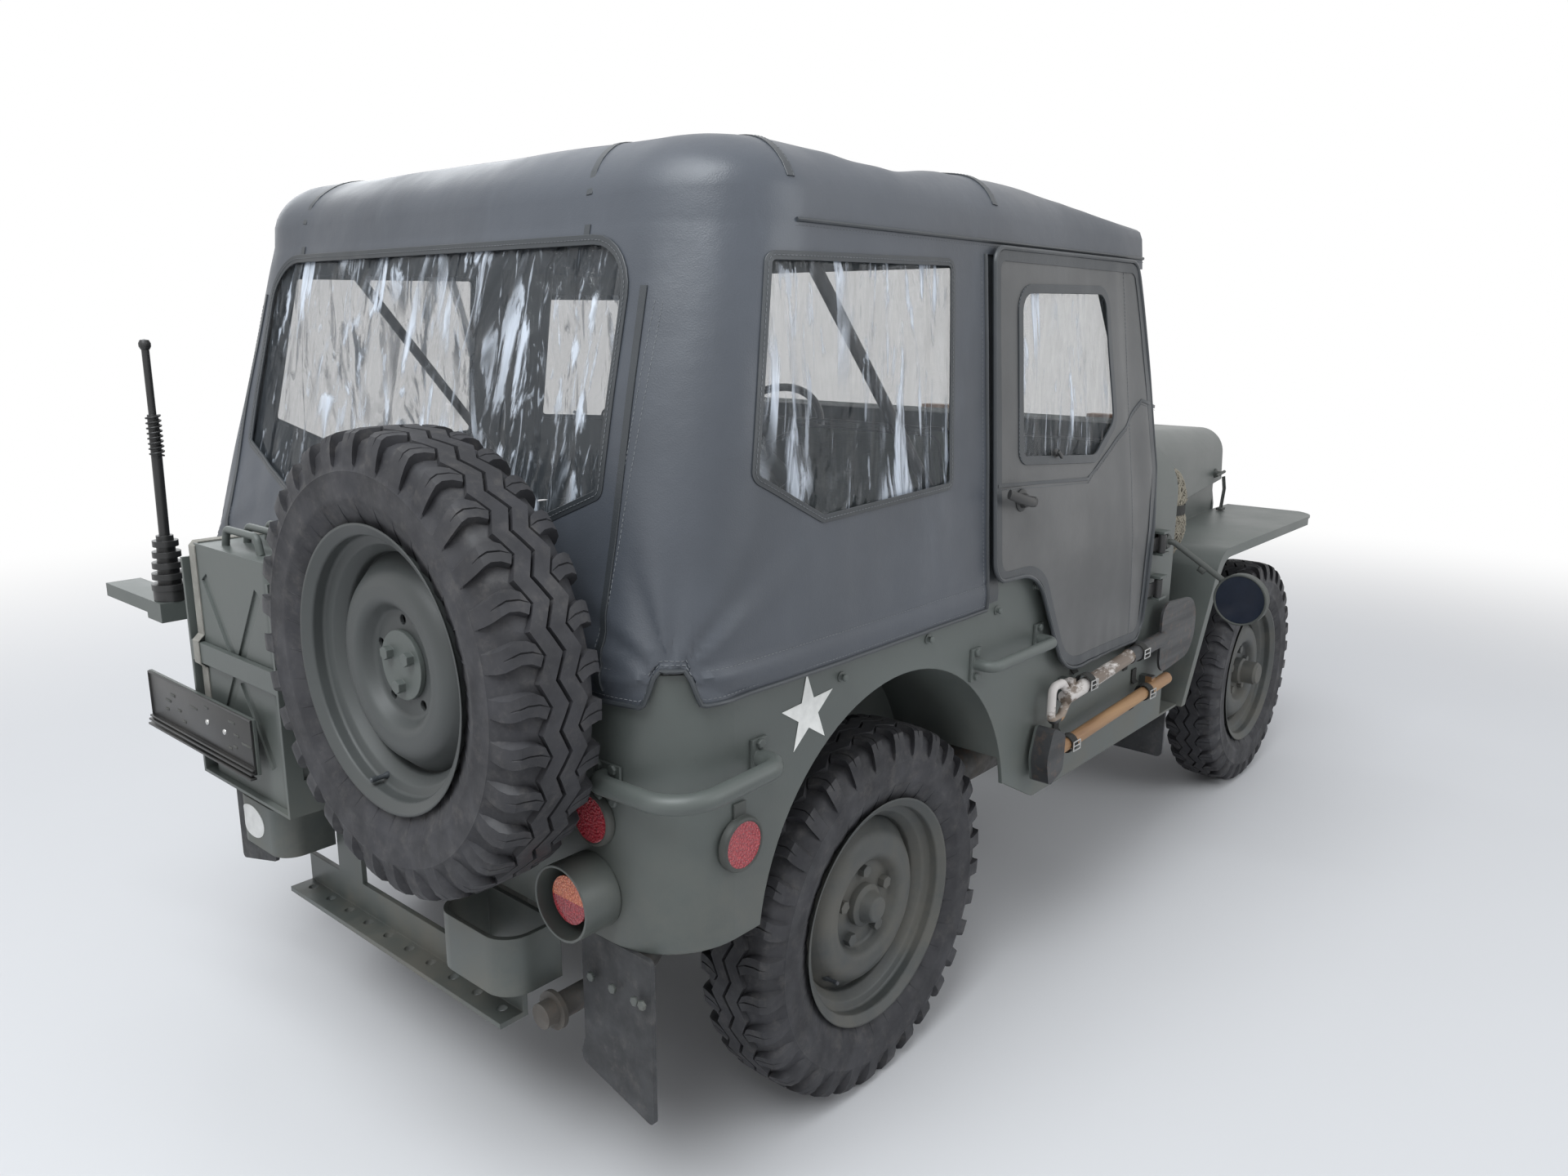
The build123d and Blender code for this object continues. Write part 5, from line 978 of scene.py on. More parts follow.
def topGrid(columns):
    # all points of the skin, and for those on the walls their wall and place, side and height
    points, kinds = [], []
    wallRows, roofRows = topCounts["wallRows"], topCounts["roofRows"]
    for column in columns:
        hem, fold = hemAndFold(column)
        heights = [hem + (fold - hem) * k / 5 for k in range(5)]
        heights += [fold + (topSet["flap"] - fold) * k / wallRows for k in range(wallRows)]
        heights += [topSet["flap"], topSet["flap"] + 12]
        for z in heights:
            points.append(wallAt(column, z))
            kinds.append((columnPlace(*column, z), column[2], z))
        x, y = flatPlace(column, topSet["gutter"])
        target = max(x, topSet["spine"]) if column[0] in ("front", "side") else topSet["spine"]
        for k in range(roofRows + 1):
            share = (k / roofRows) ** 1.35
            points.append(roofPoint(x + (target - x) * share, y * (1 - share)))
            kinds.append(None)
    return points, kinds


def makeTop():
    columns = topColumns()
    points, kinds = topGrid(columns)
    faces = []
    tall = len(points) // len(columns)
    rim = set()
    for i in range(len(columns) - 1):
        for j in range(tall - 1):
            face = (i * tall + j, (i + 1) * tall + j, (i + 1) * tall + j + 1, i * tall + j + 1)
            if kinds[face[2]] is None:
                faces.append(face)
                continue
            (kind, along), side, z = kinds[face[0]]
            (farKind, farAlong), side, farZ = kinds[face[2]]
            centre = ((along + farAlong) / 2, (z + farZ) / 2)
            if kind == "side" and centre[0] > topSet["post"] and centre[1] < topSet["flap"]:
                continue  # the doorway
            if kind == farKind and insideOf(quarterWindow if kind == "side" else rearWindow, *centre):
                rim.update(face)
                continue
            faces.append(face)
    for i in rim:
        (kind, along), side, z = kinds[i]
        found = nearestOn(quarterWindow if kind == "side" else rearWindow, Vector((along, z)))
        points[i] = wallPoint(kind, found.x, found.y, side)
    return thickened(points, faces, topSet["thickness"], topMiddle)


softTop = placePiece("softTop", makeTop(), "topVinyl", "car", 50)
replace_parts(softTop, "soft_top")
print("top area", round(areaOf(softTop), 3))


def wallLine(kind, places, side=-1, lift=1.0):
    # a seam's points and outward directions on the walls
    path = [wallPoint(kind, along, z, side, lift) for along, z in places]
    outs = [(wallPoint(kind, along, z, side, lift + 2) - place).normalized()
            for (along, z), place in zip(places, path)]
    return path, outs


def roofLine(places, lift=1.0):
    path = [roofPoint(x, y, lift) for x, y in places]
    outs = []
    for x, y in places:
        along = roofPoint(x + 6, y) - roofPoint(x - 6, y)
        aside = roofPoint(x, y + 6) - roofPoint(x, y - 6)
        outs.append(along.cross(aside).normalized())
    return path, outs


def ribbon(width, thickness):
    # a flat strip's section with soft edges, in millimetres
    half, high, edge = width / 2000, thickness / 2000, min(width, thickness) / 5000
    return [(-half, -high), (half, -high), (half, high - edge), (half - edge, high), (-half + edge, high),
            (-half, high - edge)]


def looped(line):
    # a line that ends where it starts
    return line[0] + line[0][:1], line[1] + line[1][:1]


# millimetres: radii of piping, widths of bindings, places of seams and of the strips that close the top's edges
seamSet = {"step": 12, "gutterPiping": 3.4, "postPiping": 4.2, "hemPiping": 4.0, "gutterStitchZ": 1582,
           "postX": 228, "postStitchX": 214, "quarterBinding": 13, "rearBinding": 15, "cornerRows": (590, 602),
           "flapEdge": 604, "flapLean": 0.062, "laneFrom": -452, "laneStep": 15, "laneY": 431,
           "doorFlapX": 240, "doorFlapWidth": 66, "lipX": 904, "lipHalf": 660, "lipWidth": 34, "lipDrop": -15}
topSeams = Form()
topStitches = []
gutterX = [topSet["front"] - seamSet["step"] * k for k in range(101)]
postZ = [918 + 11 * k for k in range(60)]
quarterLine = spaced(quarterWindow, seamSet["step"], True)
for side in (-1, 1):
    gutter = wallLine("side", [(x, topSet["gutter"]) for x in gutterX], side, 1.5)
    topSeams.follow(gutter, circle(seamSet["gutterPiping"], 8))
    topStitches.append(wallLine("side", [(x, seamSet["gutterStitchZ"]) for x in gutterX], side, 0.2))
    post = wallLine("side", [(seamSet["postX"], z) for z in postZ], side, 0.5)
    topSeams.follow(post, circle(seamSet["postPiping"], 8))
    topStitches.append(wallLine("side", [(seamSet["postStitchX"], z) for z in postZ], side, 0.4))
    topSeams.follow(wallLine("side", quarterLine, side, 1.2), ribbon(seamSet["quarterBinding"], 2.6), True)
    topStitches.append(looped(wallLine("side", quarterLine, side, 3.2)))
    for row in seamSet["cornerRows"]:
        upright = [(side * row, 985 + seamSet["step"] * k) for k in range(42)]
        topStitches.append(wallLine("rear", upright, side, 0.3))
    # the rear flap's piped edge beside the window
    flapEdge = [(side * (seamSet["flapEdge"] - seamSet["flapLean"] * (z - 930)), z)
                for z in range(930, 1500, seamSet["step"])]
    topSeams.follow(wallLine("rear", flapEdge, side, 1.0), ribbon(12, 3.4))
    # the seam up the rear slope and along the roof
    lane = [(seamSet["laneFrom"] + seamSet["laneStep"] * k, side * (seamSet["laneY"] - min(40, k * 4)))
            for k in range(91)]
    topSeams.follow(roofLine(lane, 0.6), ribbon(13, 2.2))
    upright = [(side * (seamSet["laneY"] + 1), z) for z in range(1566, 1590, 6)]
    topSeams.follow(wallLine("rear", upright, side, 0.8), ribbon(13, 2.2))
rearLine = spaced(rearWindow, seamSet["step"], True)
topSeams.follow(wallLine("rear", rearLine, 1, 1.2), ribbon(seamSet["rearBinding"], 3.0), True)
topStitches.append(looped(wallLine("rear", rearLine, 1, 3.4)))
for bow, bend, wide in ((topSet["rearBow"], 44, 14), (topSet["frontBow"], 45, 16)):
    lane = [(bow - bend * abs(y / 690) ** 3, y) for y in range(-690, 691, seamSet["step"])]
    topSeams.follow(roofLine(lane, 0.8), ribbon(wide, 2.6))
    topStitches.append(roofLine([(x + 5, y) for x, y in lane], 2.4))
for side in (-1, 1):
    # the flap behind each door's rear edge
    doorFlap = wallLine("side", [(seamSet["doorFlapX"], 925 + 11 * k) for k in range(60)], side, -4.2)
    topSeams.follow(doorFlap, ribbon(seamSet["doorFlapWidth"], 2.4))
# the lip that closes the roof's front edge over the windscreen
lip = [roofPoint(seamSet["lipX"], y, seamSet["lipDrop"])
       for y in range(-seamSet["lipHalf"], seamSet["lipHalf"] + 1, seamSet["step"])]
topSeams.sweep(lip, ribbon(seamSet["lipWidth"], 2.4), Vector((1, 0, 0)))
# flaps from the windscreen's posts back behind the doors' front edges, in metres
flapSet = {"rows": 20, "strips": 6, "footWidth": 0.175, "narrowing": 0.09, "lean": 0.036, "slant": 0.003,
           "wave": 0.0022}
screenLow, screenHigh = [Vector(corner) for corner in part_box("windscreen_frame")]
flapForm = Form()
for side in (-1, 1):
    rows = []
    for k in range(flapSet["rows"] + 1):
        share = k / flapSet["rows"]
        z = screenLow.z + 0.02 + (screenHigh.z - screenLow.z - 0.03) * share
        x = screenHigh.x - 0.006 + (screenLow.x - screenHigh.x + 0.03) * share
        row = []
        for j in range(flapSet["strips"] + 1):
            back = x - (flapSet["footWidth"] - flapSet["narrowing"] * share) * j / flapSet["strips"]
            wave = flapSet["wave"] * noise.noise(Vector((back * 22, z * 9, side)))
            out = screenHigh.y + 0.004 - flapSet["lean"] * share + flapSet["slant"] * j + wave
            row.append(Vector((back, side * out, z)))
        rows.append(row)
    flapForm.grid(rows)
screenFlaps = placePiece("screenFlaps", thickened(flapForm.points, flapForm.faces, 2.0, at(900, 0, 1350)),
                         "doorVinyl", "car", 50)
print("flap area", round(areaOf(screenFlaps), 3))
hemPath, hemOuts, foldPath, foldOuts = [], [], [], []
for column in topColumns():
    if column[0] == "front":
        continue
    hem, fold = hemAndFold(column)
    for z, lift, path, outs in ((hem, 0.8, hemPath, hemOuts), (fold - 2, 0.6, foldPath, foldOuts)):
        path.append(wallAt(column, z, lift))
        outs.append((wallAt(column, z, 3) - path[-1]).normalized())
topSeams.sweep(hemPath, circle(seamSet["hemPiping"], 8), hemOuts)
topStitches.append((foldPath, foldOuts))
topStitches.append(([point + Vector((0, 0, 0.009)) for point in hemPath], hemOuts))
topPiping = topSeams.make("topPiping", "pipingVinyl", "top_cloth")
topThread = makeStitches("topThread", topStitches)

# Clear windows of the top: slack film with upright waves, set back behind the skin
paneSet = {"edge": 5, "step": 11, "setBack": -6, "wave": 4.5, "thickness": 0.8}


def paneRipple(along, z, low, high):
    waves = noise.noise(Vector((along / 42, z / 420, 5))) + 0.4 * noise.noise(Vector((along / 17, z / 160, 8)))
    return paneSet["wave"] * waves * soften((z - low) / 60) * soften((high - z) / 30)


def wideOutline(line, extra):
    middle = sum(line, Vector((0, 0))) / len(line)
    return [p + (p - middle).normalized() * extra for p in line]


panes = Form()
for kind, side, line in (("rear", 1, rearWindow), ("side", -1, quarterWindow), ("side", 1, quarterWindow)):
    line = wideOutline(line, paneSet["edge"])
    low, high = min(p.y for p in line), max(p.y for p in line)
    panes.add(*cutPanel(line, [], paneSet["step"], lambda along, z: wallPoint(
        kind, along, z, side, paneSet["setBack"] + paneRipple(along, z, low, high))))
topPanes = placePiece("topWindows", thickened(panes.points, panes.faces, paneSet["thickness"], topMiddle),
                      "clearVinyl", "car", 60)
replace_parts(topPanes, "clear_windows")
print("pane area", round(areaOf(topPanes), 3))


# Soft doors: a cloth skin over a frame, with a window, a seam below it and folds along the front
print("stage: soft doors")
# millimetres: the outer face leans in above the bend; fittings and seams have (x, z) places, and film is the
# window's height range
doorSet = {"outer": 755.0, "bend": 980.0, "lean": 41 / 624, "thickness": 4.0, "step": 12, "lever": (336, 1114),
           "button": (472, 1192), "hingeX": 1014, "hingeY": 758, "hingeHeights": (825, 935),
           "film": (1165, 1516),
           "seam": ((246, 1150), (620, 1128), (800, 1226), (880, 1280), (962, 1262)),
           "flapEdge": ((786, 1560), (830, 1180), (862, 740))}
doorMiddle = at(600, 0, 1150)  # a point between the doors, which skins and films face away from
doorOutline = roundedOutline([(243, 1580, 30), (233, 968, 40), (400, 962, 110), (540, 718, 130), (946, 718, 50),
                              (962, 1040, 0), (976, 1120, 60), (848, 1580, 30)], 12)
doorWindow = roundedOutline([(334, 1510, 45), (334, 1190, 25), (650, 1168, 40), (748, 1240, 40),
                             (700, 1516, 45)], 10)


def doorPoint(x, z, side, lift=0.0):
    y = doorSet["outer"] - max(0, z - doorSet["bend"]) * doorSet["lean"]
    edge = min(limit((x - 240) / 30), limit((1580 - z) / 30))
    broad = noise.noise(Vector((x / 210, z / 260, 6 + side)))
    fine = noise.noise(Vector((x / 60, z / 150, 3 + side)))
    front = math.sin((x - 770 + (z - 1100) * 0.18) / 21) * soften((x - 760 + (z - 1100) * 0.15) / 70)
    frame = math.exp(-((z - 1142 + (x - 334) * 0.02) / 5) ** 2) * soften((700 - x) / 40)
    push = 3.0 * broad + 1.2 * fine + 3.4 * front - 2.2 * frame
    hanging = 2.4 * noise.noise(Vector((x / 34, z / 240, 1))) * soften((850 - z) / 110)
    return at(x, side * (y + (push + hanging) * edge + lift), z)


def doorLine(places, side, lift=1.0):
    path = [doorPoint(x, z, side, lift) for x, z in places]
    return path, [Vector((0, side, 0.06)).normalized() for place in path]


def makeDoorTrim(side, body, suffix):
    # piping, bindings and seams on a door's skin, and their stitches
    trim = Form()
    step = doorSet["step"]
    trim.follow(doorLine(spaced(doorOutline, step, True), side, 0.5), circle(4.6, 8), True)
    hem = doorLine(spaced(wideOutline(doorOutline, -16), step, True), side, 0.6)
    trim.follow(hem, ribbon(20, 1.6), True)
    trim.follow(doorLine(spaced(doorWindow, step, True), side, 1.2), ribbon(17, 3.4), True)
    binding = doorLine(spaced(wideOutline(doorWindow, 9), step, True), side, 2.0)
    # the seam below the window, which climbs to the front edge
    seam = spaced([Vector(place) for place in doorSet["seam"]], step)
    trim.follow(doorLine(seam, side, 0.6), ribbon(7, 2.6))
    below = doorLine([(x, z - 8) for x, z in seam], side, 0.6)
    flap = doorLine(spaced([Vector(place) for place in doorSet["flapEdge"]], step), side, 0.6)
    return (trim.make("doorPiping" + suffix, "pipingVinyl", "top_cloth", body),
            makeStitches("doorThread" + suffix, [looped(hem), looped(binding), below, flap], body))


def makeDoorFittings(side, body, suffix):
    fittings = Form()
    out = Vector((0, side, 0))
    base = doorPoint(*doorSet["lever"], side)
    fittings.lathe([(0, 0), (22, 0), (22, 3), (15, 5), (13, 14), (10, 16), (10, 30), (8, 33), (0, 33)],
                   base, out, 20)
    lever = [base + Vector((dx, side * dy, dz)) / 1000
             for dx, dy, dz in ((8, 27, -2), (-10, 30, 0), (-40, 32, 7), (-66, 30, 15), (-92, 26, 24))]
    fittings.sweep(lever, circle(9.5, 10, 0.5), out)
    # a turn button on the seam under the window
    button = doorPoint(*doorSet["button"], side, 1)
    fittings.lathe([(0, 0), (11, 0), (11, 2), (5, 3), (4, 8), (0, 9)], button, out, 16)
    fittings.block(button + out * 0.011, (22, 5, 8), Matrix.Rotation(math.radians(35), 3, "Y"), 1.2)
    # hinge leaves and sleeves at the front edge
    for z in doorSet["hingeHeights"]:
        pin = at(doorSet["hingeX"], side * doorSet["hingeY"], z)
        sleeve = [(10, -22), (10.2, -21), (10.2, 21), (10, 22), (5.4, 22), (5.4, -22), (10, -22)]
        fittings.lathe(sleeve, pin, (0, 0, 1), 20)
        fittings.block(pin + Vector((-0.040, -side * 0.007, 0)), (64, 5, 32), None, 1.2)
    return fittings.make("doorFittings" + suffix, "blackPaint", "top_cloth", body)


def makeDoorFilm(side, body, suffix):
    # the clear film behind the door's window
    low, high = doorSet["film"]

    def place(x, z):
        # slack upright waves that fade out at the window's edges
        wave = 4.0 * noise.noise(Vector(((x + (1500 - z) * 0.25) / 34, z / 330, side)))
        wave *= soften((z - low) / 50) * soften((high - z) / 50)
        return doorPoint(x, z, side, paneSet["setBack"] + wave)

    points, faces = cutPanel(wideOutline(doorWindow, 6), [], 10, place)
    return placePiece("doorFilm" + suffix, thickened(points, faces, paneSet["thickness"], doorMiddle),
                      "clearVinyl", body, 60)


def makeDoor(side, label):
    body = "door_" + label
    suffix = label.capitalize()
    points, faces = cutPanel(doorOutline, [doorWindow], 11, lambda x, z: doorPoint(x, z, side))
    skin = placePiece("doorSkin" + suffix, thickened(points, faces, doorSet["thickness"], doorMiddle),
                      "doorVinyl", body, 50)
    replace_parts(skin, "soft_door_" + label)
    piping, thread = makeDoorTrim(side, body, suffix)
    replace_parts(makeDoorFittings(side, body, suffix), "soft_door_" + label)
    pane = makeDoorFilm(side, body, suffix)
    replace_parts(pane, "door_window_" + label)
    print("door areas", round(areaOf(skin), 3), round(areaOf(pane), 3))


makeDoor(-1, "right")
makeDoor(1, "left")

# Seats: crowned cushions, blown out by a cloth simulation, over tube frames
print("stage: seats")
# voxel and cap in metres, where cap is the most that the simulation may move a point; the rest in millimetres
cushionSet = {"voxel": 0.009, "frames": 14, "cap": 0.014, "pressure": 4.0, "roundness": 0.32, "crown": 7,
              "pull": 6, "wrinkle": 1.2, "welt": 3.2, "weltInset": 9, "weltDepth": 7, "weltCorner": 26}
# columns: name, place and size in millimetres, turn about Y in degrees
cushions = (
    ("seatCushionRight", (663, -330, 822), (395, 415, 82), -3),
    ("seatCushionLeft", (663, 330, 822), (395, 415, 82), -3),
    ("seatBackRight", (428, -330, 1052), (66, 415, 370), -10),
    ("seatBackLeft", (428, 330, 1052), (66, 415, 370), -10),
    ("benchCushion", (-273, 0, 820), (370, 862, 76), -2),
    ("benchBack", (-490, 0, 967), (64, 862, 325), -7),
)


def swollen(mesh):
    # a few frames of cloth under pressure, with each point's move capped
    host = hostFor(mesh)
    rounding = host.modifiers.new("voxels", "REMESH")
    rounding.mode = "VOXEL"
    rounding.voxel_size = cushionSet["voxel"]
    mesh = applied(host)
    host = hostFor(mesh)
    before = [point.co.copy() for point in mesh.vertices]
    cloth = host.modifiers.new("cloth", "CLOTH")
    cloth.settings.use_pressure = True
    cloth.settings.uniform_pressure_force = cushionSet["pressure"]
    cloth.settings.effector_weights.gravity = 0
    cloth.settings.tension_stiffness = 12
    cloth.settings.quality = 4
    cloth.point_cache.frame_start = 1
    cloth.point_cache.frame_end = cushionSet["frames"]
    for number in range(1, cushionSet["frames"] + 1):
        scene.frame_set(number)
    made = applied(host)
    scene.frame_set(1)
    for point, start in zip(made.vertices, before):
        move = point.co - start
        if move.length > cushionSet["cap"]:
            point.co = start + move.normalized() * cushionSet["cap"]
    return made


seatWelts = Form()


def makeCushion(name, place, size, lean):
    centre = at(*place)
    turn = Matrix.Rotation(math.radians(lean), 3, "Y")
    thin = min(range(3), key=lambda k: size[k])
    wide = [k for k in range(3) if k != thin]
    pad = Form()
    pad.block(centre, size, turn, min(size) * cushionSet["roundness"])
    mesh = swollen(facedOut(meshFrom(name, pad.points, pad.faces)))
    for point in mesh.vertices:
        # crowned faces, with sides that pull in between the corners
        local = turn.inverted() @ (point.co - centre) * 1000
        shares = [limit(abs(local[k]) / (size[k] / 2)) for k in range(3)]
        crown = (1 - shares[wide[0]] ** 2) * (1 - shares[wide[1]] ** 2)
        local[thin] += math.copysign(cushionSet["crown"] * crown, local[thin])
        for one, other in (wide, wide[::-1]):
            pull = cushionSet["pull"] * (1 - shares[other] ** 2) * soften(shares[one] * 3 - 2)
            local[one] -= math.copysign(pull, local[one])
        wrinkle = Vector((noise.noise(local / 60), noise.noise(local / 60 + Vector((9, 0, 0))), 0))
        local += wrinkle * cushionSet["wrinkle"]
        point.co = centre + turn @ (local / 1000)
    piece = placePiece(name, mesh, "seatCloth", "car", 60)
    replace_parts(piece, "seats")
    # welts round both broad faces
    a, b = [size[k] / 2 - cushionSet["weltInset"] for k in wide]
    corners = [(x, y, cushionSet["weltCorner"]) for x, y in ((-a, -b), (a, -b), (a, b), (-a, b))]
    for face in (-1, 1):
        path = []
        for p in spaced(roundedOutline(corners), 18, True):
            local = Vector((0, 0, 0))
            local[wide[0]], local[wide[1]] = p.x, p.y
            local[thin] = face * (size[thin] / 2 - cushionSet["weltDepth"])
            path.append(centre + turn @ (local / 1000))
        seatWelts.tube(path + path[:2], cushionSet["welt"], 6)


for cushion in cushions:
    makeCushion(*cushion)
seatWelts.make("seatWelts", "strapWeb", "seat_cloth")

# tube frames below the cushions, in millimetres: legs are (x, height) and rails (x, z) along their length
frameSet = {"tube": 10, "seatY": [y + leg * 175 for y in (-330, 330) for leg in (-1, 1)], "benchY": (-380, 380),
            "seatLegs": ((520, 782), (830, 782)), "benchLegs": ((-430, 786), (-130, 786)),
            "seatRail": ((846, 788), (500, 778), (462, 800), (440, 900), (372, 1190)),
            "benchRail": ((-110, 784), (-440, 778), (-484, 830), (-522, 1080))}
seatFrames = Form()
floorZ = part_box("seats")[0][2] * 1000
for kind in ("seat", "bench"):
    for x, high in frameSet[kind + "Legs"]:
        for y in frameSet[kind + "Y"]:
            leg = [(0, 0), (26, 0), (26, 4), (12, 5), (12, high - floorZ), (0, high - floorZ)]
            seatFrames.lathe(leg, at(x, y, floorZ + 0.3), (0, 0, 1), 14)
for kind in ("seat", "bench"):
    for y in frameSet[kind + "Y"]:
        seatFrames.tube([at(x, y, z) for x, z in frameSet[kind + "Rail"]], frameSet["tube"])
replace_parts(seatFrames.make("seatFrames", "greenPaint", "painted_green"), "seats")

# Camouflage net: a limp bundle of cords in a strap, in millimetres
print("stage: net and straps")
netSet = {"centre": (1222, -672, 974), "half": (80, 62, 120), "waist": 0.22, "loops": 60, "cord": 2.1,
          "strapHalf": (64, 50), "strapZ": 988, "strapWidth": 26}


def netGirth(up):
    # the share of the full girth at a height from -1 to 1, drawn in under the strap
    return math.sqrt(max(0, 1 - abs(up) ** 2.6)) * (1 - netSet["waist"] * math.exp(-((up - 0.1) / 0.16) ** 2))


def netPlace(turn, reach, up):
    x, y, z = netSet["centre"]
    halfX, halfY, halfZ = netSet["half"]
    return at(x + halfX * reach * math.cos(turn), y + halfY * reach * math.sin(turn), z + halfZ * up)


# painted shade: a dark core under the cords stands for the shade deep inside the bundle
netCore = Form()
rings = []
for j in range(19):
    up = -1 + 2 * j / 18
    row = []
    for k in range(28):
        turn = 2 * math.pi * k / 28
        lump = 0.80 + 0.12 * noise.noise(Vector((math.cos(turn) * 2, math.sin(turn) * 2, up * 3)))
        row.append(netPlace(turn, netGirth(up) * lump, up * 0.93))
    rings.append(row)
netCore.grid(rings, True)
core = netCore.make("netBundle", "netShade", "net_cloth", "car", 60)
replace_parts(core, "net_roll")
netCords = Form()
for loop in range(netSet["loops"]):
    seed = loop * 3.7
    slope = math.sin(seed) * 1.3
    path = []
    for k in range(46):
        turn = 2 * math.pi * k / 45
        wander = noise.noise(Vector((math.cos(turn) * 1.6, math.sin(turn) * 1.6, seed)))
        detail = noise.noise(Vector((math.cos(turn) * 7, math.sin(turn) * 7, seed + 40)))
        swing = slope * 0.35 * math.sin(turn + seed)
        up = limit(math.sin(seed * 2.1) * 0.8 + swing + 0.55 * wander + 0.2 * detail, -0.94, 0.94)
        reach = 0.87 + 0.09 * noise.noise(Vector((turn * 3, seed, up * 5)))
        path.append(netPlace(turn + slope, netGirth(up) * reach, up))
    netCords.tube(path, netSet["cord"], 5)
netCords.make("netCords", "netCord", "net_cloth", "car", 60)

right, rearward = Vector((0, -1, 0)), Vector((-1, 0, 0))
straps = Form()
buckles = Form()
netMiddle = at(*netSet["centre"][:2], netSet["strapZ"])
girthPath = []
for k in range(40):
    turn = 2 * math.pi * k / 40
    girthPath.append(at(netSet["centre"][0] + netSet["strapHalf"][0] * math.cos(turn),
                        netSet["centre"][1] + netSet["strapHalf"][1] * math.sin(turn), netSet["strapZ"]))
girthOuts = [(place - netMiddle).normalized() for place in girthPath]
straps.sweep(girthPath, ribbon(netSet["strapWidth"], 2.4), girthOuts, True)
# straps round the tools with their tails on the tub and a buckle outside, in millimetres
toolSet = {"toolY": -767, "wallY": -737.6, "tailY": -744, "buckleY": -789.5, "strap": 24}
toolWeb = ribbon(toolSet["strap"], 2.4)
# columns: x, z of the tool, reach round it
for x, z, radius in ((628, 680, 20), (905, 690, 20), (560, 559, 19), (960, 577, 19)):
    turns = [math.pi * (0.5 - k / 24 * 2) for k in range(25)]
    loop = [at(x, toolSet["toolY"] - radius * math.sin(turn), z + radius * math.cos(turn)) for turn in turns]
    straps.sweep(loop, toolWeb, [(place - at(x, toolSet["toolY"], z)).normalized() for place in loop])
    for way in (1, -1):
        straps.sweep([at(x, y, z + way * dz) for y, dz in (
            (toolSet["wallY"], 52), (toolSet["wallY"], 24), (toolSet["tailY"], 17))], toolWeb, right)
    corners = ((-15, -10), (15, -10), (15, 10), (-15, 10))
    buckles.sweep([at(x + dx, toolSet["buckleY"], z + dz) for dx, dz in corners], circle(1.6, 6), right, True)
    buckles.sweep([at(x + dx, toolSet["buckleY"] - 0.5, z) for dx in (-14, 14)], circle(1.3, 6), right)
straps.make("toolStraps", "strapWeb", "black_rubber")
# the web strap over the petrol can, outside the bar of its carrier: columns x, z in millimetres
canSet = {"y": 396, "strap": 25, "line": ((-745.6, 600), (-745.6, 792), (-757.6, 803), (-757.6, 847),
                                          (-745.6, 858), (-745.6, 1029), (-738, 1036.8), (-612, 1036.8),
                                          (-603, 1030), (-602.2, 990))}
canStrap = Form()
canOuts = [rearward] * 6 + [Vector((0, 0, 1))] * 2 + [Vector((1, 0, 0))] * 2
canStrap.sweep([at(x, canSet["y"], z) for x, z in canSet["line"]], ribbon(canSet["strap"], 2.2), canOuts)
canStrap.make("canStrap", "strapPale", "net_cloth")
buckles.make("strapBuckles", "steelBright", "bare_iron")

# Fittings, in millimetres: stars, studs, bolts and rivets, reflector rings, aerial coil, plate holder, oval,
# mirrors, bonnet catches and valves
print("stage: fittings")
starSet = {"x": -296, "y": 735.7, "z": 846, "outer": 66, "inner": 25.3, "lean": 4, "thickness": 0.5}


def starPlate(side):
    form = Form()
    centre = at(starSet["x"], side * starSet["y"], starSet["z"])
    points = []
    for k in range(10):
        radius = starSet["inner"] if k % 2 else starSet["outer"]
        turn = math.radians(90 + 36 * k + starSet["lean"])
        points.append(Vector((math.cos(turn) * radius, 0, math.sin(turn) * radius)) / 1000)
    layers = [Vector((0, side * depth / 1000, 0)) for depth in (0, starSet["thickness"])]
    form.points = [centre + p + layer for layer in layers for p in points]
    form.points.extend(centre + layer for layer in layers)
    for k in range(10):
        after = (k + 1) % 10
        form.faces.extend([(k, after, 20), (10 + k, 10 + after, 21), (k, after, 10 + after, 10 + k)])
    return form


for side, label in ((-1, "Right"), (1, "Left")):
    starPlate(side).make("star" + label, "starWhite", "painted_green")

# heads as (radius, height), and their places on the sides and on the rear face
headSet = {"hex": [(0, 0), (8, 0), (8, 4.5), (6.6, 5.5), (0, 5.5)],
           "stud": [(0, 0), (9, 0), (9, 1.5), (5, 2.5), (4.4, 7), (6.4, 8), (6.4, 10), (4.5, 12), (0, 12.4)],
           "dome": [(0, 0), (6, 0), (5.4, 1.8), (3, 3.2), (0, 3.6)],
           "studs": ((279, 904), (-212, 885), (430, 926), (40, 896)),
           "handleBolts": ((-415, 806), (205, 812), (452, 812)),
           "rearBolts": ((588, 812), (621, 812), (588, 762), (621, 762)),
           "bumperBolts": (560, 610, 660, 676)}
bolts = Form()
for side in (-1, 1):
    out = Vector((0, side, 0))
    for x, z in headSet["studs"]:
        bolts.lathe(headSet["stud"], at(x, side * 735.1, z), out, 14)
    for x, z in headSet["handleBolts"]:
        for dz in (-24, 24):
            bolts.lathe(headSet["hex"], at(x, side * 740.2, z + dz), out, 6)
    for y, z in headSet["rearBolts"]:
        bolts.lathe(headSet["hex"], at(-600.2, side * y, z), rearward, 6)
    for y in headSet["bumperBolts"]:
        bolts.lathe(headSet["hex"], at(-603, side * y, 455), rearward, 6)
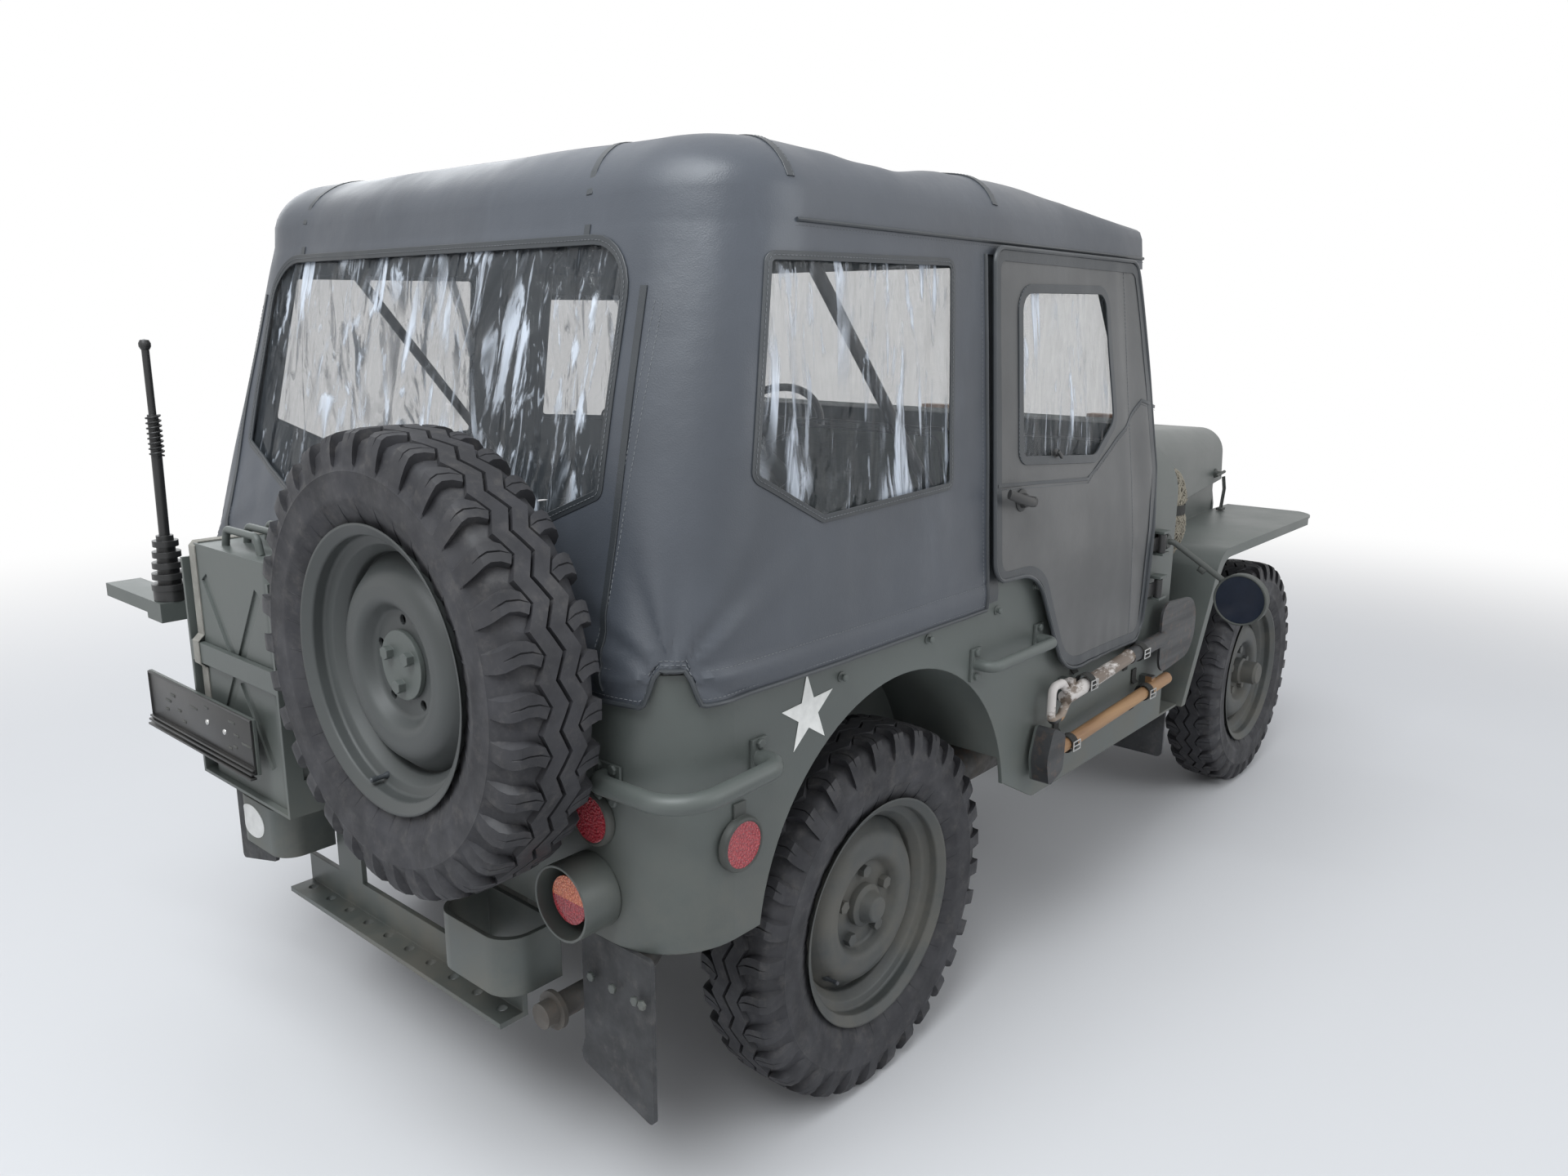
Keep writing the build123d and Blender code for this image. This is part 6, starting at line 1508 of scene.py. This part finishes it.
# rivets up the windscreen's outer faces
for side in (-1, 1):
    for z in range(1175, 1600, 60):
        share = (z / 1000 - screenLow.z) / (screenHigh.z - screenLow.z)
        x = screenHigh.x - 0.015 + (screenLow.x - screenHigh.x + 0.03) * share
        place = onNode("windscreen_frame", Vector((x, side * 0.9, z / 1000)), (0, -side, 0))
        bolts.lathe(headSet["dome"], place, Vector((0, side, 0)), 10)
bolts.make("studsAndBolts", "greenPaint", "painted_green")

# rings round the reflectors, with a tab over those on the sides
ringSet = {"profile": [(36, 0), (44, 0), (44, 8), (42, 12), (38.5, 13.5), (36.5, 12), (36.5, 6), (36, 0)],
           "side": (-457, 735.3, 682), "rear": (-595.3, 572, 722)}
reflectorRings = Form()
for side in (-1, 1):
    x, y, z = ringSet["side"]
    reflectorRings.lathe(ringSet["profile"], at(x, side * y, z), (0, side, 0), 32)
    rearX, rearY, rearZ = ringSet["rear"]
    reflectorRings.lathe(ringSet["profile"], at(rearX, side * rearY, rearZ), rearward, 32)
    reflectorRings.block(at(x, side * (y + 2.2), z + 53), (26, 4, 26), None, 1.2)
reflectorRings.make("reflectorRings", "frameIron", "painted_green")

# the aerial's coil and knob
coilSet = {"x": -715, "y": 588, "z": 1180, "radius": 12.5, "wire": 2.0, "turns": 8, "rise": 10}
coil = Form()
coilPath = []
for k in range(20 * coilSet["turns"] + 1):
    turn = 2 * math.pi * k / 20
    coilPath.append(at(coilSet["x"] + coilSet["radius"] * math.cos(turn),
                       coilSet["y"] + coilSet["radius"] * math.sin(turn),
                       coilSet["z"] + coilSet["rise"] * k / 20))
coil.tube(coilPath, coilSet["wire"], 6)
coil.lathe([(0, 0), (8, 2), (11, 8), (11, 14), (8, 20), (0, 22)], at(coilSet["x"], 586, 1384), (0, 0, 1), 18)
coil.make("aerialCoil", "blackPaint", "black_paint")

# the empty number plate holder: a dark tray with a rim, three rails below, slots and two screws
plateSet = {"x": -770, "y": 390, "z": 692, "rim": ((616, 743), (164, 743), (164, 642), (616, 642)),
            "rails": ((650, 7), (643, 10), (634, 12)), "screws": ((351, 697), (278, 695)),
            # slot columns: y, z, width, height
            "slots": ((245, 722, 26, 5), (230, 700, 22, 5), (190, 690, 40, 6), (238, 676, 16, 5),
                      (260, 668, 14, 5), (505, 716, 20, 6), (530, 700, 24, 5), (480, 690, 16, 5),
                      (460, 672, 14, 5), (410, 712, 36, 4), (540, 680, 16, 5), (350, 726, 18, 4))}
plateHolder = Form()
plateHolder.block(at(plateSet["x"] + 0.9, plateSet["y"], plateSet["z"]), (2.4, 452, 99), None, 0.8)
plateHolder.sweep([at(plateSet["x"] - 0.5, y, z) for y, z in plateSet["rim"]], circle(2.4, 6), rearward, True)
for z, deep in plateSet["rails"]:
    plateHolder.block(at(plateSet["x"] - deep / 2, plateSet["y"], z), (deep, 456, 4.5), None, 1.0)
plateHolder.make("plateHolder", "blackPaint", "painted_green")
plateSlots = Form()
for y, z, wide, high in plateSet["slots"]:
    plateSlots.block(at(plateSet["x"] - 0.5, y, z), (1.0, wide, high), None, 0.4)
plateSlots.make("plateSlots", "frameIron", "painted_green")
plateScrews = Form()
for y, z in plateSet["screws"]:
    plateScrews.lathe(headSet["dome"], at(plateSet["x"] - 0.2, y, z), rearward, 12)
plateScrews.make("plateScrews", "steelBright", "bare_iron")

# a blank white oval on the left rear bumper's rear face, laid on its bend ring by ring
ovalSet = {"y": 386, "z": 457, "halfY": 50, "halfZ": 34, "sides": 32, "rings": (0.02, 0.25, 0.5, 0.75, 1.0),
           "lift": 1.2, "edge": 1.4}
oval = Form()
ovalRows = []
for share in ovalSet["rings"]:
    row = []
    for k in range(ovalSet["sides"]):
        turn = math.tau * k / ovalSet["sides"]
        start = at(-800, ovalSet["y"] + ovalSet["halfY"] * share * math.cos(turn),
                   ovalSet["z"] + ovalSet["halfZ"] * share * math.sin(turn))
        row.append(onNode("bumpers", start, (1, 0, 0)) + rearward * ovalSet["lift"] / 1000)
    ovalRows.append(row)
ovalRows.append([point - rearward * ovalSet["edge"] / 1000 for point in ovalRows[-1]])
oval.grid(ovalRows, True)
oval.faces.append(tuple(range(ovalSet["sides"])))
oval.make("blankOval", "ovalWhite", "painted_green")

# the mirrors' glass in a thin rim, facing back, with a clamp where the arm leaves the cowl and a joint halfway;
# the glass is painted a dark blue-grey that stands for its reflection
mirrorSet = {"face": (1086, 930, 810), "clamp": (1045, 738, 936), "joint": (1080, 838, 874)}
mirrorGlasses = Form()
mirrorRims = Form()
for side in (-1, 1):
    face, clamp, joint = [at(x, side * y, z) for x, y, z in mirrorSet.values()]
    mirrorGlasses.lathe([(0, -0.2), (57, -0.2), (57, 0.8), (0, 1.0)], face, rearward, 48)
    mirrorRims.lathe([(57, -0.5), (62.4, -0.5), (62.4, 1.6), (60, 2.8), (57.4, 1.8), (57, -0.5)],
                     face, rearward, 48)
    mirrorRims.lathe([(0, -4), (19, -4), (20, 2), (20, 20), (16, 26), (0, 26)], clamp, (0, side, 0), 20)
    mirrorRims.lathe([(0, -9), (11, -9), (12, -7), (12, 7), (11, 9), (0, 9)],
                     joint, (0.35, side * 1.0, -0.72), 14)
mirrorGlasses.make("mirrorGlasses", "mirrorGlass", "black_paint")
mirrorRims.make("mirrorRims", "frameIron", "painted_green")

# spring catches at the bonnet's front lower corners, and their loops on brackets of the side sheets; x and z in
# millimetres, how far they stand off and the brackets' height in metres
catchSet = {"x": 2128, "z": 976, "stand": 0.018, "footZ": 0.853}
bonnetCatches = Form()
catchLoops = Form()
for side in (-1, 1):
    out = Vector((0, side, 0))
    upper = onNode("bonnet", at(catchSet["x"], side * 700, catchSet["z"]), (0, -side, 0))
    bonnetCatches.lathe([(0, -1), (15, -1), (15, 3), (8, 5), (7, 20), (0, 20)], upper, out, 16)
    bar = ((-0.034, -0.004), (0, 0), (0.034, 0.004))
    bonnetCatches.tube([upper + Vector((x, side * catchSet["stand"], z)) for x, z in bar], 5, 8)
    top = upper + Vector((0.03, side * catchSet["stand"], -0.012))
    foot = Vector((top.x, top.y, catchSet["footZ"]))
    for dx in (-0.008, 0.008):
        beside = Vector((dx, 0, 0))
        catchLoops.tube([top + beside, top + Vector((dx, side * 0.006, -0.04)), foot + beside], 3, 8)
    catchLoops.block(foot + Vector((0, 0, 0.004)), (34, 20, 8), None, 1.5)
bonnetCatches.make("bonnetCatches", "frameIron", "painted_green", "bonnet")
catchLoops.make("catchLoops", "frameIron", "painted_green")
# valve columns: piece, body, wheel node, a place outside the wheel, direction out of it
for name, body, node, start, out in (
    ("valveSpare", "car", "spare_wheel", at(-900, -262, 752), rearward),
    ("valveRight", "wheel_rear_right", "rear_right_wheel", at(-112, -900, 251), right),
    ("valveLeft", "wheel_rear_left", "rear_left_wheel", at(-112, 900, 251), -right),
):
    valve = Form()
    valve.lathe([(0, -3), (6, -3), (5.5, 2), (4, 6), (3.6, 18), (4.4, 19), (4.4, 27), (3, 29), (0, 29)],
                onNode(node, start, -out), out, 12)
    valve.make(name, "pipingVinyl", "wheel_plastic", body)


# Floor and light
print("stage: floor and light")
# metres; the floor turns to the white background between fadeFrom and fadeTo
studio = {"floorColour": (0.74, 0.74, 0.75), "floorSize": 120, "fadeFrom": 2.6, "fadeTo": 6.5, "keyPower": 250,
          "fillPower": 62, "lampColour": (0.93, 0.97, 1.0), "lampAim": (0, 0, 0.7),
          "worldColour": (0.86, 0.88, 0.92, 1), "worldStrength": 0.55, "white": (1, 1, 1, 1)}


def makeFloor():
    bpy.ops.mesh.primitive_plane_add(size=studio["floorSize"])
    floor = bpy.context.object
    floor.name = "studioFloor"
    shade = Shade("studioFloor")
    speck = shade.mix(shade.noise(3, 3, 0.5), studio["floorColour"], scaled(studio["floorColour"], 0.985))
    shade.finish(speck, 0.9)
    far = shade.add("ShaderNodeVectorMath", {0: shade.place}, operation="LENGTH").outputs["Value"]
    share = shade.maths("MULTIPLY", shade.ramp(far, studio["fadeFrom"], studio["fadeTo"]), shade.viewed())
    white = shade.add("ShaderNodeEmission", {"Color": studio["white"], "Strength": 1.0})
    both = shade.add("ShaderNodeMixShader", {0: share, 1: shade.surface.outputs[0], 2: white.outputs[0]})
    shade.feed(shade.tree.nodes["Material Output"].inputs["Surface"], both.outputs[0])
    floor.data.materials.append(shade.material)


def makeLamp(name, place, power, size):
    data = bpy.data.lights.new(name, "AREA")
    data.energy = power
    data.color = studio["lampColour"]
    data.size = size
    lamp = bpy.data.objects.new(name, data)
    lamp.location = place
    lamp.rotation_mode = "QUATERNION"
    lamp.rotation_quaternion = (Vector(studio["lampAim"]) - Vector(place)).to_track_quat("-Z", "Y")
    scene.collection.objects.link(lamp)


def makeWorld():
    # white to the camera, pale grey as light
    world = bpy.data.worlds.new("studioWorld")
    world.use_nodes = True
    sky = NodeTree(world.node_tree)
    light = sky.tree.nodes["Background"]
    light.inputs["Color"].default_value = studio["worldColour"]
    light.inputs["Strength"].default_value = studio["worldStrength"]
    white = sky.add("ShaderNodeBackground", {"Color": studio["white"]})
    either = sky.add("ShaderNodeMixShader", {0: sky.viewed(), 1: light.outputs[0], 2: white.outputs[0]})
    sky.feed(sky.tree.nodes["World Output"].inputs["Surface"], either.outputs[0])
    scene.world = world


makeFloor()
makeLamp("keyLamp", (-3.6, -1.0, 5.2), studio["keyPower"], 3.4)
makeLamp("rightLamp", (1.2, -5.0, 3.2), studio["fillPower"], 3.0)
makeLamp("leftLamp", (0.5, 5.0, 3.6), studio["fillPower"], 3.0)
makeWorld()
bpy.data.objects.remove(stitchModel)
scene.view_settings.view_transform = "Standard"
